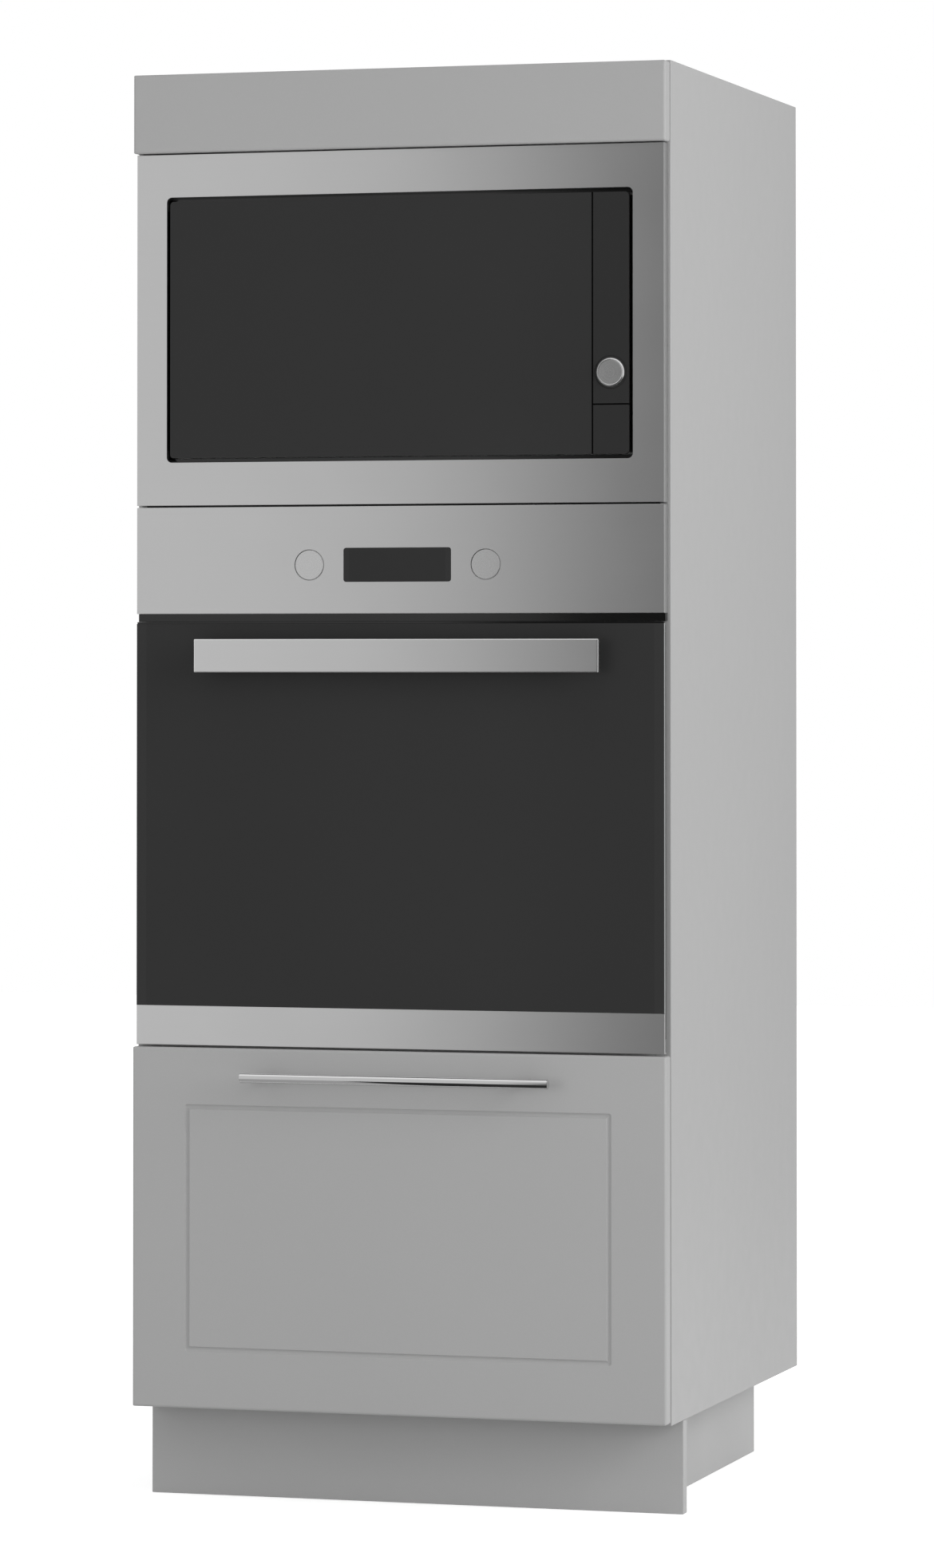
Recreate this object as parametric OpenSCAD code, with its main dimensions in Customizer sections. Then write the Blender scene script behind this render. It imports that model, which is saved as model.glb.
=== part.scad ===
// Tall oven housing: a floor-standing kitchen cabinet that holds a microwave,
// a single oven and a deep drawer under a closing filler board.
// The front faces -Y, +X is to the viewer's right, and the floor is at Z = 0.
// The origin is at the middle of the bounding box, on the floor.

/* [Cabinet] */
// Outside width of the cabinet
cabinet_w = 600; // [560:1:640]
// Depth of the side boards
carcass_d = 570; // [560:1:620]
// Thickness of the carcass boards
board_t = 18; // [15:1:22]
// How far the appliance shelves stop short of the back, for ventilation
shelf_vent = 50; // [30:1:80]
// Thickness of the back panel of the drawer bay
back_t = 8; // [5:0.5:10]
// Distance from the back panel to the rear edge of the sides
back_inset = 24; // [20:1:30]
// Width of the cut-out in the bottom board for air and the mains cable
vent_cut_w = 440; // [420:1:480]
// Radius of the edging on the sides' front edges
side_edge_r = 1; // [0.5:0.1:2]
// Depth of the grooves that hold panels
groove_d = 7; // [5:0.5:9]
// Height of the wall rail
rail_h = 100; // [80:1:140]
// Distance between the two wall fixing holes
wall_hole_pitch = 400; // [300:1:440]
// Diameter of the wall fixing holes
wall_hole_d = 6; // [5:0.5:8]
// Diameter of the blind holes that link two cabinets side by side
link_hole_d = 5; // [4:0.5:8]
// Depth of the linking holes
link_hole_depth = 13; // [10:0.5:14]
// Distance of the linking holes from the front edge
link_hole_inset = 37; // [32:1:45]
// Vertical distance between the linking holes
link_hole_pitch = 960; // [896:32:1024]

/* [Plinth and feet] */
// Height of the plinth under the carcass
plinth_h = 100; // [90:1:140]
// Thickness of the plinth boards
plinth_t = 16; // [12:1:18]
// Distance from the drawer's face back to the plinth's face
plinth_setback = 67.7; // [50:0.1:90]
// Inset of the plinth's side returns from the cabinet's sides
return_inset = 50; // [40:1:60]
// Distance of the plinth's returns from the back of the cabinet
return_back_gap = 4; // [2:1:20]
// Distance of the feet from the cabinet's sides
foot_side_inset = 110; // [100:1:140]
// Distance of the front feet behind the plinth board
foot_front_inset = 36; // [30:1:60]
// Distance of the rear feet from the back of the cabinet
foot_back_inset = 70; // [50:1:90]
// Diameter of a foot's tube
foot_tube_d = 30; // [24:1:32]
// Diameter of a foot's pad
foot_pad_d = 56; // [50:1:64]
// Thickness of a foot's pad
foot_pad_t = 6; // [4:0.5:8]
// Length of a foot's tube that stays in its socket at full travel
foot_grip = 24; // [16:1:30]
// Wall of the sockets
socket_wall = 4; // [3:0.5:6]
// Travel of a foot out of its socket
foot_travel = 20; // [10:1:24]

/* [Fronts] */
// Thickness of the drawer front and of the filler
front_t = 18; // [16:1:22]
// Gap between the fronts and the carcass edges
front_gap = 2; // [1.5:0.1:3]
// Distance of the fronts' ends from the cabinet's sides
front_side_gap = 0.7; // [0.5:0.1:3]
// Radius of the fronts' edges
edge_r = 2.5; // [1:0.1:4]
// Height of the carcass edge that shows under the drawer front
reveal_bottom = 2; // [1:0.1:4]
// Height of the carcass edge that shows over the filler
reveal_top = 1.4; // [1:0.1:4]
// Height of the drawer front
drawer_front_h = 389.7; // [370:0.1:420]
// Height of the filler
filler_h = 85.8; // [70:0.1:140]
// Seam between the drawer front and the oven
drawer_seam = 2.4; // [2:0.1:4]
// Seam between the oven and the microwave
appliance_seam = 2.1; // [1.5:0.1:4]
// Seam between the microwave and the filler
filler_seam = 1.5; // [1.2:0.1:4]
// Width of the routed line in the drawer front
groove_line_w = 5; // [3:0.1:6]
// Depth of the routed line
groove_line_d = 1.7; // [1:0.1:2.4]
// Distance of the routed line from the drawer front's ends
groove_side = 62.8; // [50:0.1:90]
// Distance of the routed line from the drawer front's lower and upper edges
groove_edge = 64; // [50:0.1:90]

/* [Drawer] */
// Distance from the drawer box to the back panel behind it
drawer_back_gap = 40; // [30:1:80]
// Height of the drawer's sides
drawer_side_h = 230; // [190:1:270]
// Height of the drawer box's lower edge above the bottom board
drawer_lift = 30; // [24:1:44]
// Height of the drawer's base above the box's lower edge
drawer_base_lift = 10; // [8:0.5:14]
// Thickness of the drawer's sides and back
drawer_board_t = 15; // [12:1:16]
// Thickness of the drawer's base
drawer_base_t = 8; // [6:0.5:10]
// Width taken by a runner between a drawer side and the carcass
runner_w = 12.7; // [12:0.1:14]
// Height of a runner
runner_h = 45; // [38:1:50]
// Distance from the carcass's front edge to the runners
runner_setback = 4; // [2:0.5:8]
// Distance from the runners' rear ends to the back panel
runner_back_gap = 34; // [24:1:74]
// Sheet thickness of the runners
runner_t = 1.2; // [1:0.1:1.4]
// Diameter of the bar handle
bar_d = 11; // [9:0.5:14]
// Length of the bar handle
bar_l = 344; // [320:1:400]
// Distance between the bar handle's posts
bar_pitch = 288; // [256:32:320]
// How far the bar's middle lies right of the drawer front's middle
bar_shift = 5.5; // [-20:0.5:20]
// Distance from the drawer's face to the bar's axis
bar_standoff = 28; // [24:0.5:40]
// Distance from the drawer front's top edge to the bar's axis
bar_drop = 29.7; // [24:0.1:45]
// Diameter of the bar handle's posts
bar_post_d = 8; // [6:0.5:10]
// Diameter of the screw bores in the posts
bar_screw_d = 4; // [3:0.5:5]
// Depth of the screw bores in the posts
bar_screw_depth = 16; // [12:1:18]

/* [Appliance fascias] */
// Distance of the appliance fascias from the cabinet's sides
fascia_side_gap = 3.5; // [2:0.1:8]
// Distance of the appliance fascias behind the drawer's face
fascia_setback = 4.6; // [2:0.1:6]
// Sheet thickness of the fascias
fascia_t = 1.5; // [1:0.1:1.6]
// Radius of the fascias' bent edges
fascia_r = 0.4; // [0.2:0.1:1]
// Height of the oven's control panel
panel_h = 115.6; // [105:0.1:130]
// Height of the air outlet between the control panel and the door
vent_h = 10.8; // [8:0.1:16]
// Height of the door's outer glass
glass_h = 413.95; // [400:0.05:440]
// Height of the steel strip under the glass
trim_h = 42.65; // [38:0.05:50]
// Height of the shelf's top above the lower edge of the appliance on it
shelf_lap = 8; // [7.5:0.1:9]

/* [Oven] */
// Sheet thickness of the oven's casing
casing_t = 1.2; // [1:0.1:1.5]
// Gap between the oven's casing and the cabinet's sides
casing_side_gap = 4; // [2:0.1:8]
// Gap between the oven's casing and the shelf above it
casing_top_gap = 6; // [4:0.1:10]
// Distance from the oven's casing to the rear edge of the sides
casing_back_gap = 30; // [28:1:50]
// Space between the oven's cavity and the casing's side
insulation_w = 38; // [30:1:60]
// Height of the door's upper edge above the cavity's roof
cavity_top_drop = 33.6; // [30:0.1:50]
// Space between the cavity's back and the casing's back
cavity_back_space = 106; // [96:1:130]
// Sheet thickness of the oven's cavity
cavity_t = 1.5; // [1:0.1:2]
// Height of the cavity's floor above the shelf
cavity_lift = 60; // [54:0.5:66]
// Thickness of the gasket round the oven's cavity
gasket_t = 3.7; // [3:0.1:5]
// Width of the gasket
gasket_w = 8; // [6:0.5:10]
// Distance from the cavity's edge to the gasket
gasket_inset = 6; // [4:0.5:8]
// Thickness of the whole door
door_t = 35.4; // [32:0.1:38]
// Thickness of the door's full-width rim
door_rim_t = 14; // [12:0.1:14.5]
// Thickness of the door's glasses
glass_t = 4; // [3:0.1:5]
// Distance from the door's face to the hinge axis
hinge_back = 5.8; // [5.7:0.1:6.2]
// Diameter of the hinge pins
hinge_pin_d = 5; // [4:0.1:5]
// Gap between the door's inner part and the casing's sides
door_core_gap = 14; // [12:0.5:20]
// Distance from the door's inner edges to the hinge arms
hinge_inset = 10.8; // [8:0.1:16]
// Length of the oven's flat handle
handle_l = 453; // [400:1:500]
// How far the oven handle's middle lies right of the door's middle
handle_shift = 5; // [-15:0.5:15]
// Height of the oven's flat handle
handle_h = 36; // [30:0.5:40]
// Thickness of the oven's flat handle
handle_t = 6; // [5:0.5:10]
// Distance from the door's face to the front of the handle
handle_reach = 28; // [27:0.5:50]
// Distance from the glass's top edge to the top of the handle
handle_drop = 16.6; // [12:0.1:30]
// Radius of the handle's edges
handle_r = 1.5; // [0.5:0.1:2.4]
// Distance between the handle's posts
handle_pitch = 400; // [360:1:440]
// Diameter of the handle's posts
handle_post_d = 14; // [10:0.5:18]
// Diameter of the oven's knobs
knob_d = 32.4; // [30:0.2:40]
// Depth of the oven's knobs
knob_depth = 20; // [18:0.5:22]
// Distance between the oven's knobs
knob_pitch = 198.4; // [170:0.2:220]
// Gap round a knob in its panel
knob_gap = 0.6; // [0.5:0.1:1.5]
// Travel of a knob that pops out
knob_travel = 16; // [10:1:16]
// Diameter of the knobs' shafts
shaft_d = 6; // [5:0.5:7]
// Width of the display window
display_w = 120.4; // [100:0.2:140]
// Height of the display window
display_h = 36.2; // [28:0.2:44]
// Height of the knobs' axes and of the display above the panel's lower edge
knob_lift = 52.5; // [44:0.1:60]
// Diameter of the convection fan
fan_d = 140; // [120:2:160]
// Number of blades on the convection fan
fan_blades = 10; // [6:1:14]
// Depth of the fan's space behind its cover
fan_space = 26; // [24:1:32]
// Diameter of the grill's tube
grill_tube_d = 6.5; // [5:0.5:8]
// Diameter of the rack ladders' rods
rod_d = 4.4; // [4:0.1:5]
// Number of levels on the rack ladders
rack_levels = 5; // [3:1:5]
// Level that the wire shelf rests on, counted from the bottom
shelf_level = 2; // [1:1:3]
// Diameter of the bore in the cable gland
gland_bore_d = 12; // [8:0.5:12]
// Distance from the casing's side to the cable gland
gland_side = 88; // [70:1:120]

/* [Microwave] */
// Side margin of the microwave frame round its opening
mw_margin_side = 34.3; // [30:0.1:40]
// Lower margin of the microwave frame
mw_margin_bottom = 46.7; // [40:0.1:56]
// Upper margin of the microwave frame
mw_margin_top = 46.6; // [40:0.1:56]
// Height of the opening in the microwave frame
mw_open_h = 288.8; // [270:0.1:300]
// Corner radius of the opening
mw_open_r = 5.8; // [5:0.1:12]
// Dark gap between the frame's opening and the panes, at the sides
mw_gap_side = 4.2; // [3.8:0.1:5]
// Dark gap between the frame's opening and the panes, below and above
mw_gap_z = 4.9; // [4:0.1:6]
// Corner radius of the panes
pane_r = 4; // [2:0.5:4]
// Thickness of the panes
pane_t = 5; // [4:0.1:5.4]
// How far the panes stand proud of the frame
pane_proud = 1; // [0:0.1:1.2]
// Width of the control strip's pane
strip_w = 39.7; // [36:0.1:44]
// Width of the fine seams between the panes
pane_seam = 0.6; // [0.5:0.1:1]
// Height of the door release button
release_h = 53.2; // [44:0.2:60]
// Travel of the door release button
release_travel = 3; // [2:0.1:3.5]
// Distance from the microwave's knob to the edges of the control strip
mw_knob_margin = 2.55; // [2:0.05:5]
// How far the microwave's knob stands out of its pane
mw_knob_proud = 3; // [2:0.1:12]
// Height of the microwave's knob axis above the release button
mw_knob_lift = 33.7; // [30:0.1:50]
// Gap between the microwave's casing and the cabinet's sides
mw_casing_side_gap = 10; // [6:0.5:16]
// Height of the microwave's casing above the opening in its frame
mw_casing_over = 22.5; // [16:0.5:30]
// Depth of the microwave's casing
mw_casing_d = 400; // [390:1:440]
// Distance from the casing's left side to the microwave's cavity
mw_cavity_left = 62; // [54:1:80]
// Width of the space for the electronics right of the cavity
mw_electronics_w = 102; // [96:1:130]
// Inside height of the microwave's cavity
mw_cavity_h = 205; // [190:1:210]
// Inside depth of the microwave's cavity
mw_cavity_d = 340; // [330:1:360]
// Diameter of the turntable
turntable_d = 300; // [270:1:310]
// Diameter of the turntable's rollers
roller_d = 14; // [12:0.5:18]

/* [Hidden] */
$fn = 48;

// Gap between two pieces that seat without touching
seat_gap = 0.3;
// Radial clearance of a shaft or pin that turns in its bore
running_gap = 0.05;
// Overlap that keeps a cut clear of the face it goes through
cut = 1;

// Small parts of the cabinet
bracket_leg = 28;
bracket_x = 60;
clip_lift = 22;
clip_h = 14;
clip_wall = 4;
clip_web = 12;
socket_play = 0.5;
socket_rim = 20;
socket_plate_t = 5;
socket_corner_r = 8;
gusset_t = 3;
foot_cone_h = 6;
collar_lift = 4;
collar_wall = 4;
collar_h = 12;
scallop_r = 5;
bar_hole_d = 5;
bar_bevel = 0.6;

// Small parts of the oven
bulkhead_setback = 12;
vent_slot_w = 20;
vent_slot_h = 5;
vent_slot_pitch = 30;
shaft_hole_d = 13;
arm_t = 6;
cheek_t = 5;
cheek_gap = 1;
eye_wall = 1.5;
pin_end = 0.5;
receiver_l = 70;
receiver_h = 30;
receiver_wall = 4;
door_clear = 1.7;
door_foot_gap = 2.9;
door_core_lift = 26;
door_stile = 32;
window_reach = 10;
trim_sheet = 1.2;
trim_lip = 2.2;
outlet_setback = 6;
outlet_drop = 2.3;
display_t = 3;
display_r = 3;
switch_w = 38;
switch_d = 26;
bush_d = 12;
bush_l = 3;
tab_w = 6;
tab_t = 0.8;
tab_l = 8;
tab_pitch = 10;
knob_face_t = 2.4;
knob_wall = 1.6;
knob_bevel = 0.6;
hub_wall = 2.5;
shaft_recess = 2.8;
shaft_grip = 3.6;
switch_shaft_l = 21;
ladder_lift = 45;
ladder_pair = 12;
ladder_gap = 12;
ladder_post_gap = 8;
ladder_end = 30;
ladder_back_gap = 20;
ladder_post_inset = 40;
shelf_rod_d = 6;
shelf_wire_d = 3;
shelf_wires = 17;
cover_w = 300;
cover_h = 260;
cover_t = 1.2;
cover_hole_d = 8;
cover_slot_inset = 18;
cover_slot_w = 12;
cover_slot_h = 18;
cover_ring = 13;
fan_disc_t = 1.5;
fan_hub_d = 20;
blade_t = 1.2;
blade_root = 18;
motor_d = 60;
motor_l = 36;
bearing_d = 24;
bearing_l = 8;
grill_bend = 50;
grill_drop = 14;
terminal_w = 80;
terminal_d = 26;
terminal_h = 40;
terminal_drop = 110;
gland_l = 20;
gland_wall = 4;

// Small parts of the microwave
mw_plate_t = 1.2;
mw_vent_x = 150;
mw_vent_pitch = 12;
mw_vent_lift = 40;
mw_vent_w = 8;
mw_hinge_inset = 12;
mw_hinge_gap = 4.3;
mw_pin_d = 5;
mw_tab_edge = 5.5;
mw_tab_t = 3;
mw_tab_gap = 1;
mw_eye_r = 4;
mw_door_core_t = 15.1;
mw_door_side = 3;
choke_inset = 8;
hook_gap = 20;
hook_t = 3;
hook_w = 8;
hook_inset = 10;
strip_side_gap = 2;
button_stem_d = 8;
mw_motor_d = 50;
mw_motor_h = 16;
drive_d = 8;
plate_t = 5;
plate_rim_h = 12;
plate_hub_d = 24;
ring_w = 8;
ring_t = 6;

// Widths
inner_w = cabinet_w - 2 * board_t;
front_w = cabinet_w - 2 * front_side_gap;
fascia_w = cabinet_w - 2 * fascia_side_gap;
casing_w = inner_w - 2 * casing_side_gap;
drawer_w = inner_w - 2 * runner_w;
door_inner_w = casing_w - 2 * casing_t - 2 * door_core_gap;
hinge_span = door_inner_w - 2 * hinge_inset;
cavity_w = casing_w - 2 * insulation_w;
mw_casing_w = inner_w - 2 * mw_casing_side_gap;
mw_cavity_w = mw_casing_w - mw_cavity_left - mw_electronics_w;

// Planes from front to back
front_reach = max(bar_standoff + bar_d / 2, handle_reach - fascia_setback);
total_d = front_reach + front_t + front_gap + carcass_d;
face_y = front_reach - total_d / 2;
fascia_y = face_y + fascia_setback;
carcass_y = face_y + front_t + front_gap;
back_y = carcass_y + carcass_d;
fascia_back_y = carcass_y - seat_gap;
bulkhead_y = carcass_y + bulkhead_setback;
plinth_y = face_y + plinth_setback;
panel_back_y = back_y - back_inset - back_t;

// Levels from the floor up
drawer_z = plinth_h + reveal_bottom;
drawer_top_z = drawer_z + drawer_front_h;
oven_z = drawer_top_z + drawer_seam;
glass_z = oven_z + trim_h;
door_top_z = glass_z + glass_h;
panel_z = door_top_z + vent_h;
oven_top_z = panel_z + panel_h;
mw_z = oven_top_z + appliance_seam;
mw_open_z = mw_z + mw_margin_bottom;
mw_top_z = mw_open_z + mw_open_h + mw_margin_top;
filler_z = mw_top_z + filler_seam;
top_z = filler_z + filler_h + reveal_top;
oven_shelf_z = oven_z + shelf_lap;
mw_shelf_z = mw_z + shelf_lap;

// Feet
foot_x = cabinet_w / 2 - foot_side_inset;
foot_front_y = plinth_y + plinth_t + foot_front_inset;
foot_back_y = back_y - foot_back_inset;
socket_l = foot_travel + foot_grip;

// Drawer
drawer_y = face_y + front_t;
drawer_d = panel_back_y - drawer_back_gap - drawer_y;
drawer_box_z = plinth_h + board_t + drawer_lift;
drawer_base_z = drawer_box_z + drawer_base_lift;
runner_y = carcass_y + runner_setback;
runner_l = panel_back_y - runner_back_gap - runner_y;
runner_z = drawer_box_z + drawer_side_h / 2;
middle_h = runner_h - 2 * runner_t - 2 * seat_gap;
middle_end = 10;
lip_gap = 1;
inner_h = middle_h - 2 * runner_t - 2 * seat_gap;

// Oven
casing_d = carcass_d - casing_back_gap;
casing_back_y = carcass_y + casing_d;
casing_h = mw_shelf_z - board_t - casing_top_gap - oven_shelf_z;
hinge_y = fascia_y + hinge_back;
hinge_z = oven_shelf_z;
eye_r = hinge_pin_d / 2 + eye_wall;
door_back_y = fascia_y + door_t;
door_rim_y = fascia_y + door_rim_t;
door_frame_z = hinge_z + eye_r + door_foot_gap;
door_core_z = hinge_z + door_core_lift;
door_frame_top_z = door_top_z - door_clear;
flange_y = door_back_y + seat_gap + gasket_t;
flange_x = casing_w / 2 - casing_t - seat_gap;
cavity_z = oven_shelf_z + cavity_lift;
cavity_top_z = door_top_z - cavity_top_drop;
cavity_h = cavity_top_z - cavity_z;
cavity_back_y = casing_back_y - cavity_back_space;
cavity_mid_z = cavity_z + cavity_h / 2;
knob_z = panel_z + knob_lift;
knob_hub_l = shaft_recess + knob_travel + shaft_grip;
ladder_spare = 20;
ladder_x = cavity_w / 2 - ladder_gap;
ladder_post_x = cavity_w / 2 - ladder_post_gap;
ladder_front_y = flange_y + ladder_end;
ladder_back_y = cavity_back_y - fan_space - ladder_back_gap;
ladder_pitch = (cavity_h - 2 * ladder_lift - ladder_spare) / (rack_levels - 1);
terminal_x = casing_w / 2 - gland_side;

// Microwave
pane_y = fascia_y - pane_proud;
pane_back_y = pane_y + pane_t;
mw_open_w = fascia_w - 2 * mw_margin_side;
pane_x = mw_open_w / 2 - mw_gap_side;
pane_z = mw_open_z + mw_gap_z;
pane_top_z = mw_open_z + mw_open_h - mw_gap_z;
strip_x = pane_x - strip_w;
strip_mid_x = strip_x + strip_w / 2;
door_x = strip_x - pane_seam;
release_top_z = pane_z + release_h;
release_z = (pane_z + release_top_z) / 2;
mw_knob_d = strip_w - 2 * mw_knob_margin;
mw_knob_z = release_top_z + mw_knob_lift;
mw_casing_h = mw_open_z + mw_open_h + mw_casing_over - mw_shelf_z;
mw_hinge_x = -pane_x + mw_hinge_inset;
mw_hinge_y = pane_back_y + mw_hinge_gap;
mw_door_back_y = mw_hinge_y + mw_door_core_t;
mw_cavity_x = mw_cavity_left - mw_casing_w / 2;
mw_cavity_z = pane_z + (pane_top_z - pane_z - mw_cavity_h) / 2;
mw_floor_y = bulkhead_y + mw_plate_t;
mw_hook_x = mw_cavity_x + mw_cavity_w + hook_gap;
mw_hook_low = mw_cavity_z + hook_inset;
mw_hook_high = mw_cavity_z + mw_cavity_h - hook_inset;
mw_tabs_z = [pane_z + mw_tab_edge, pane_top_z - mw_tab_edge - mw_tab_t];
turntable_x = mw_cavity_x + mw_cavity_w / 2;
turntable_y = mw_floor_y + mw_cavity_d / 2;
turntable_z = mw_cavity_z + roller_d + 2 * seat_gap;

// Colours
board_grey = [0.42, 0.42, 0.42];
steel = [0.62, 0.62, 0.62];
zinc = [0.72, 0.73, 0.74];
dark = [0.05, 0.05, 0.05];
glass_black = [0.04, 0.04, 0.04];
chrome = [0.8, 0.8, 0.8];
enamel = [0.09, 0.1, 0.11];
black_plastic = [0.06, 0.06, 0.06];

// ---- Shared shapes ----

// A board between two X, Y and Z values
module box(x0, x1, y0, y1, z0, z1) {
  translate([x0, y0, z0]) cube([x1 - x0, y1 - y0, z1 - z0]);
}

// A cylinder along Y from y0 to y1
module rod_y(x, y0, y1, z, d) {
  translate([x, y0, z]) rotate([-90, 0, 0]) cylinder(d = d, h = y1 - y0);
}

// A cylinder along X from x0 to x1
module rod_x(x0, x1, y, z, d) {
  translate([x0, y, z]) rotate([0, 90, 0]) cylinder(d = d, h = x1 - x0);
}

// The same piece on the left and on the right
module both_sides() {
  children();
  mirror([1, 0, 0]) children();
}

// A rectangle with four round corners, its lower left corner at the origin
module round_rect(w, h, r) {
  translate([r, 0]) square([w - 2 * r, h]);
  translate([0, r]) square([w, h - 2 * r]);
  for (x = [r, w - r], y = [r, h - r]) translate([x, y]) circle(r);
}

// An upright plate with round corners between y0 and y1
module round_plate(x0, x1, y0, y1, z0, z1, r) {
  translate([x0, y1, z0]) rotate([90, 0, 0])
    linear_extrude(y1 - y0) round_rect(x1 - x0, z1 - z0, r);
}

// The section of a board whose two front edges are rounded, its front at y = 0
module eased_section(w, t, r) {
  translate([0, r]) square([w, t - r]);
  translate([r, 0]) square([w - 2 * r, t]);
  for (x = [r, w - r]) translate([x, r]) circle(r);
}

// A front board with rounded front edges and rounded corners
module eased_board(x0, x1, y0, t, z0, z1, r) {
  intersection() {
    translate([x0, y0, z0]) linear_extrude(z1 - z0) eased_section(x1 - x0, t, r);
    translate([x1, y0, z0]) rotate([0, -90, 0])
      linear_extrude(x1 - x0) eased_section(z1 - z0, t, r);
    round_plate(x0, x1, y0, y0 + t, z0, z1, r);
  }
}

// An upright sheet-metal pan with bent edges, open to the back
module front_pan(z0, z1) {
  x = fascia_w / 2;
  t = fascia_t;
  difference() {
    eased_board(-x, x, fascia_y, fascia_back_y - fascia_y, z0, z1, fascia_r);
    box(t - x, x - t, fascia_y + t, fascia_back_y + cut, z0 + t, z1 - t);
  }
}

// A casing that is open to the front, with walls of thickness t
module casing_shell(x0, x1, y0, y1, z0, z1, t) {
  difference() {
    box(x0, x1, y0, y1, z0, z1);
    box(x0 + t, x1 - t, y0 - cut, y1 - t, z0 + t, z1 - t);
  }
}

// ---- Cabinet ----

module side_board() {
  difference() {
    translate([-cabinet_w / 2, carcass_y, plinth_h])
      linear_extrude(top_z - plinth_h) eased_section(board_t, carcass_d, side_edge_r);
    box(-inner_w / 2 - groove_d, -inner_w / 2 + cut, panel_back_y - seat_gap / 2,
      panel_back_y + back_t + seat_gap / 2, plinth_h + board_t, oven_shelf_z - board_t);
    for (s = [-1, 1])
      rod_x(-inner_w / 2 - link_hole_depth, -inner_w / 2 + cut, carcass_y + link_hole_inset,
        (plinth_h + top_z) / 2 + s * link_hole_pitch / 2, link_hole_d);
  }
}

module side_left() {
  color(board_grey) side_board();
}

module side_right() {
  color(board_grey) mirror([1, 0, 0]) side_board();
}

module shelf_board(top, depth) {
  box(-inner_w / 2, inner_w / 2, carcass_y, carcass_y + depth, top - board_t, top);
}

// The bottom board, with a cut-out behind the back panel
module bottom_panel() {
  color(board_grey) difference() {
    shelf_board(plinth_h + board_t, carcass_d);
    box(-vent_cut_w / 2, vent_cut_w / 2, back_y - back_inset, back_y + cut, plinth_h - cut,
      plinth_h + board_t + cut);
  }
}

module oven_shelf() {
  color(board_grey) shelf_board(oven_shelf_z, carcass_d - shelf_vent);
}

module microwave_shelf() {
  color(board_grey) shelf_board(mw_shelf_z, carcass_d - shelf_vent);
}

module top_panel() {
  color(board_grey) shelf_board(top_z, carcass_d);
}

module back_panel() {
  reach = inner_w / 2 + groove_d - seat_gap;
  color(board_grey)
    box(-reach, reach, panel_back_y, panel_back_y + back_t, plinth_h + board_t,
      oven_shelf_z - board_t);
}

module wall_rail() {
  rail_top = top_z - board_t;
  color(board_grey) difference() {
    box(-inner_w / 2, inner_w / 2, back_y - board_t, back_y, rail_top - rail_h, rail_top);
    for (s = [-1, 1])
      rod_y(s * wall_hole_pitch / 2, back_y - board_t - cut, back_y + cut, rail_top - rail_h / 2,
        wall_hole_d);
  }
}

module top_filler() {
  color(board_grey)
    eased_board(-front_w / 2, front_w / 2, face_y, front_t, filler_z, filler_z + filler_h, edge_r);
}

// Four angle brackets: two on the sides and two under the top board
module filler_brackets() {
  leg = bracket_leg;
  t = front_gap;
  back = face_y + front_t;
  mid_z = filler_z + filler_h / 2 - board_t / 2;
  brace_z = top_z - board_t;
  color(zinc) {
    both_sides() {
      box(inner_w / 2 - leg, inner_w / 2, back, back + t, mid_z - leg / 2, mid_z + leg / 2);
      box(inner_w / 2 - t, inner_w / 2, back, back + leg, mid_z - leg / 2, mid_z + leg / 2);
    }
    both_sides() {
      box(bracket_x, bracket_x + leg, back, back + t, brace_z - leg, brace_z);
      box(bracket_x, bracket_x + leg, back, back + leg, brace_z - t, brace_z);
    }
  }
}

// The front plinth board, with the two clips that grip the front feet
module plinth_front() {
  clip_r = foot_tube_d / 2 + clip_wall;
  color(board_grey) {
    box(-cabinet_w / 2, cabinet_w / 2, plinth_y, plinth_y + plinth_t, 0, plinth_h - seat_gap);
    both_sides() translate([foot_x, foot_front_y, foot_pad_t + clip_lift]) difference() {
      union() {
        cylinder(r = clip_r, h = clip_h);
        translate([-clip_web / 2, -foot_front_inset, 0])
          cube([clip_web, foot_front_inset, clip_h]);
      }
      translate([0, 0, -cut]) cylinder(r = foot_tube_d / 2 + seat_gap, h = clip_h + 2 * cut);
      translate([-clip_r - cut, foot_tube_d / 6, -cut])
        cube([2 * clip_r + 2 * cut, 2 * clip_r, clip_h + 2 * cut]);
    }
  }
}

module plinth_returns() {
  outer = cabinet_w / 2 - return_inset;
  color(board_grey) both_sides()
    box(outer - plinth_t, outer, plinth_y + plinth_t, back_y - return_back_gap, 0,
      plinth_h - seat_gap);
}

// A socket plate with a round tube, a gusset on each side and a bore for the foot
module leg_socket() {
  bore = foot_tube_d / 2 + socket_play;
  plate = foot_tube_d + 2 * socket_rim;
  t = socket_plate_t;
  difference() {
    union() {
      translate([-plate / 2, -plate / 2, -t])
        linear_extrude(t) round_rect(plate, plate, socket_corner_r);
      translate([0, 0, -socket_l]) cylinder(r = bore + socket_wall, h = socket_l);
      for (a = [0:90:270]) rotate(a)
        translate([0, gusset_t / 2, 0]) rotate([90, 0, 0])
          linear_extrude(gusset_t) polygon([[bore, -t], [plate / 2 - gusset_t, -t], [bore, t - socket_l]]);
    }
    translate([0, 0, -socket_l - cut]) cylinder(r = bore, h = socket_l + 2 * cut);
  }
}

module leg_sockets() {
  color(black_plastic)
    for (x = [-foot_x, foot_x], y = [foot_front_y, foot_back_y])
      translate([x, y, plinth_h]) leg_socket();
}

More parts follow.
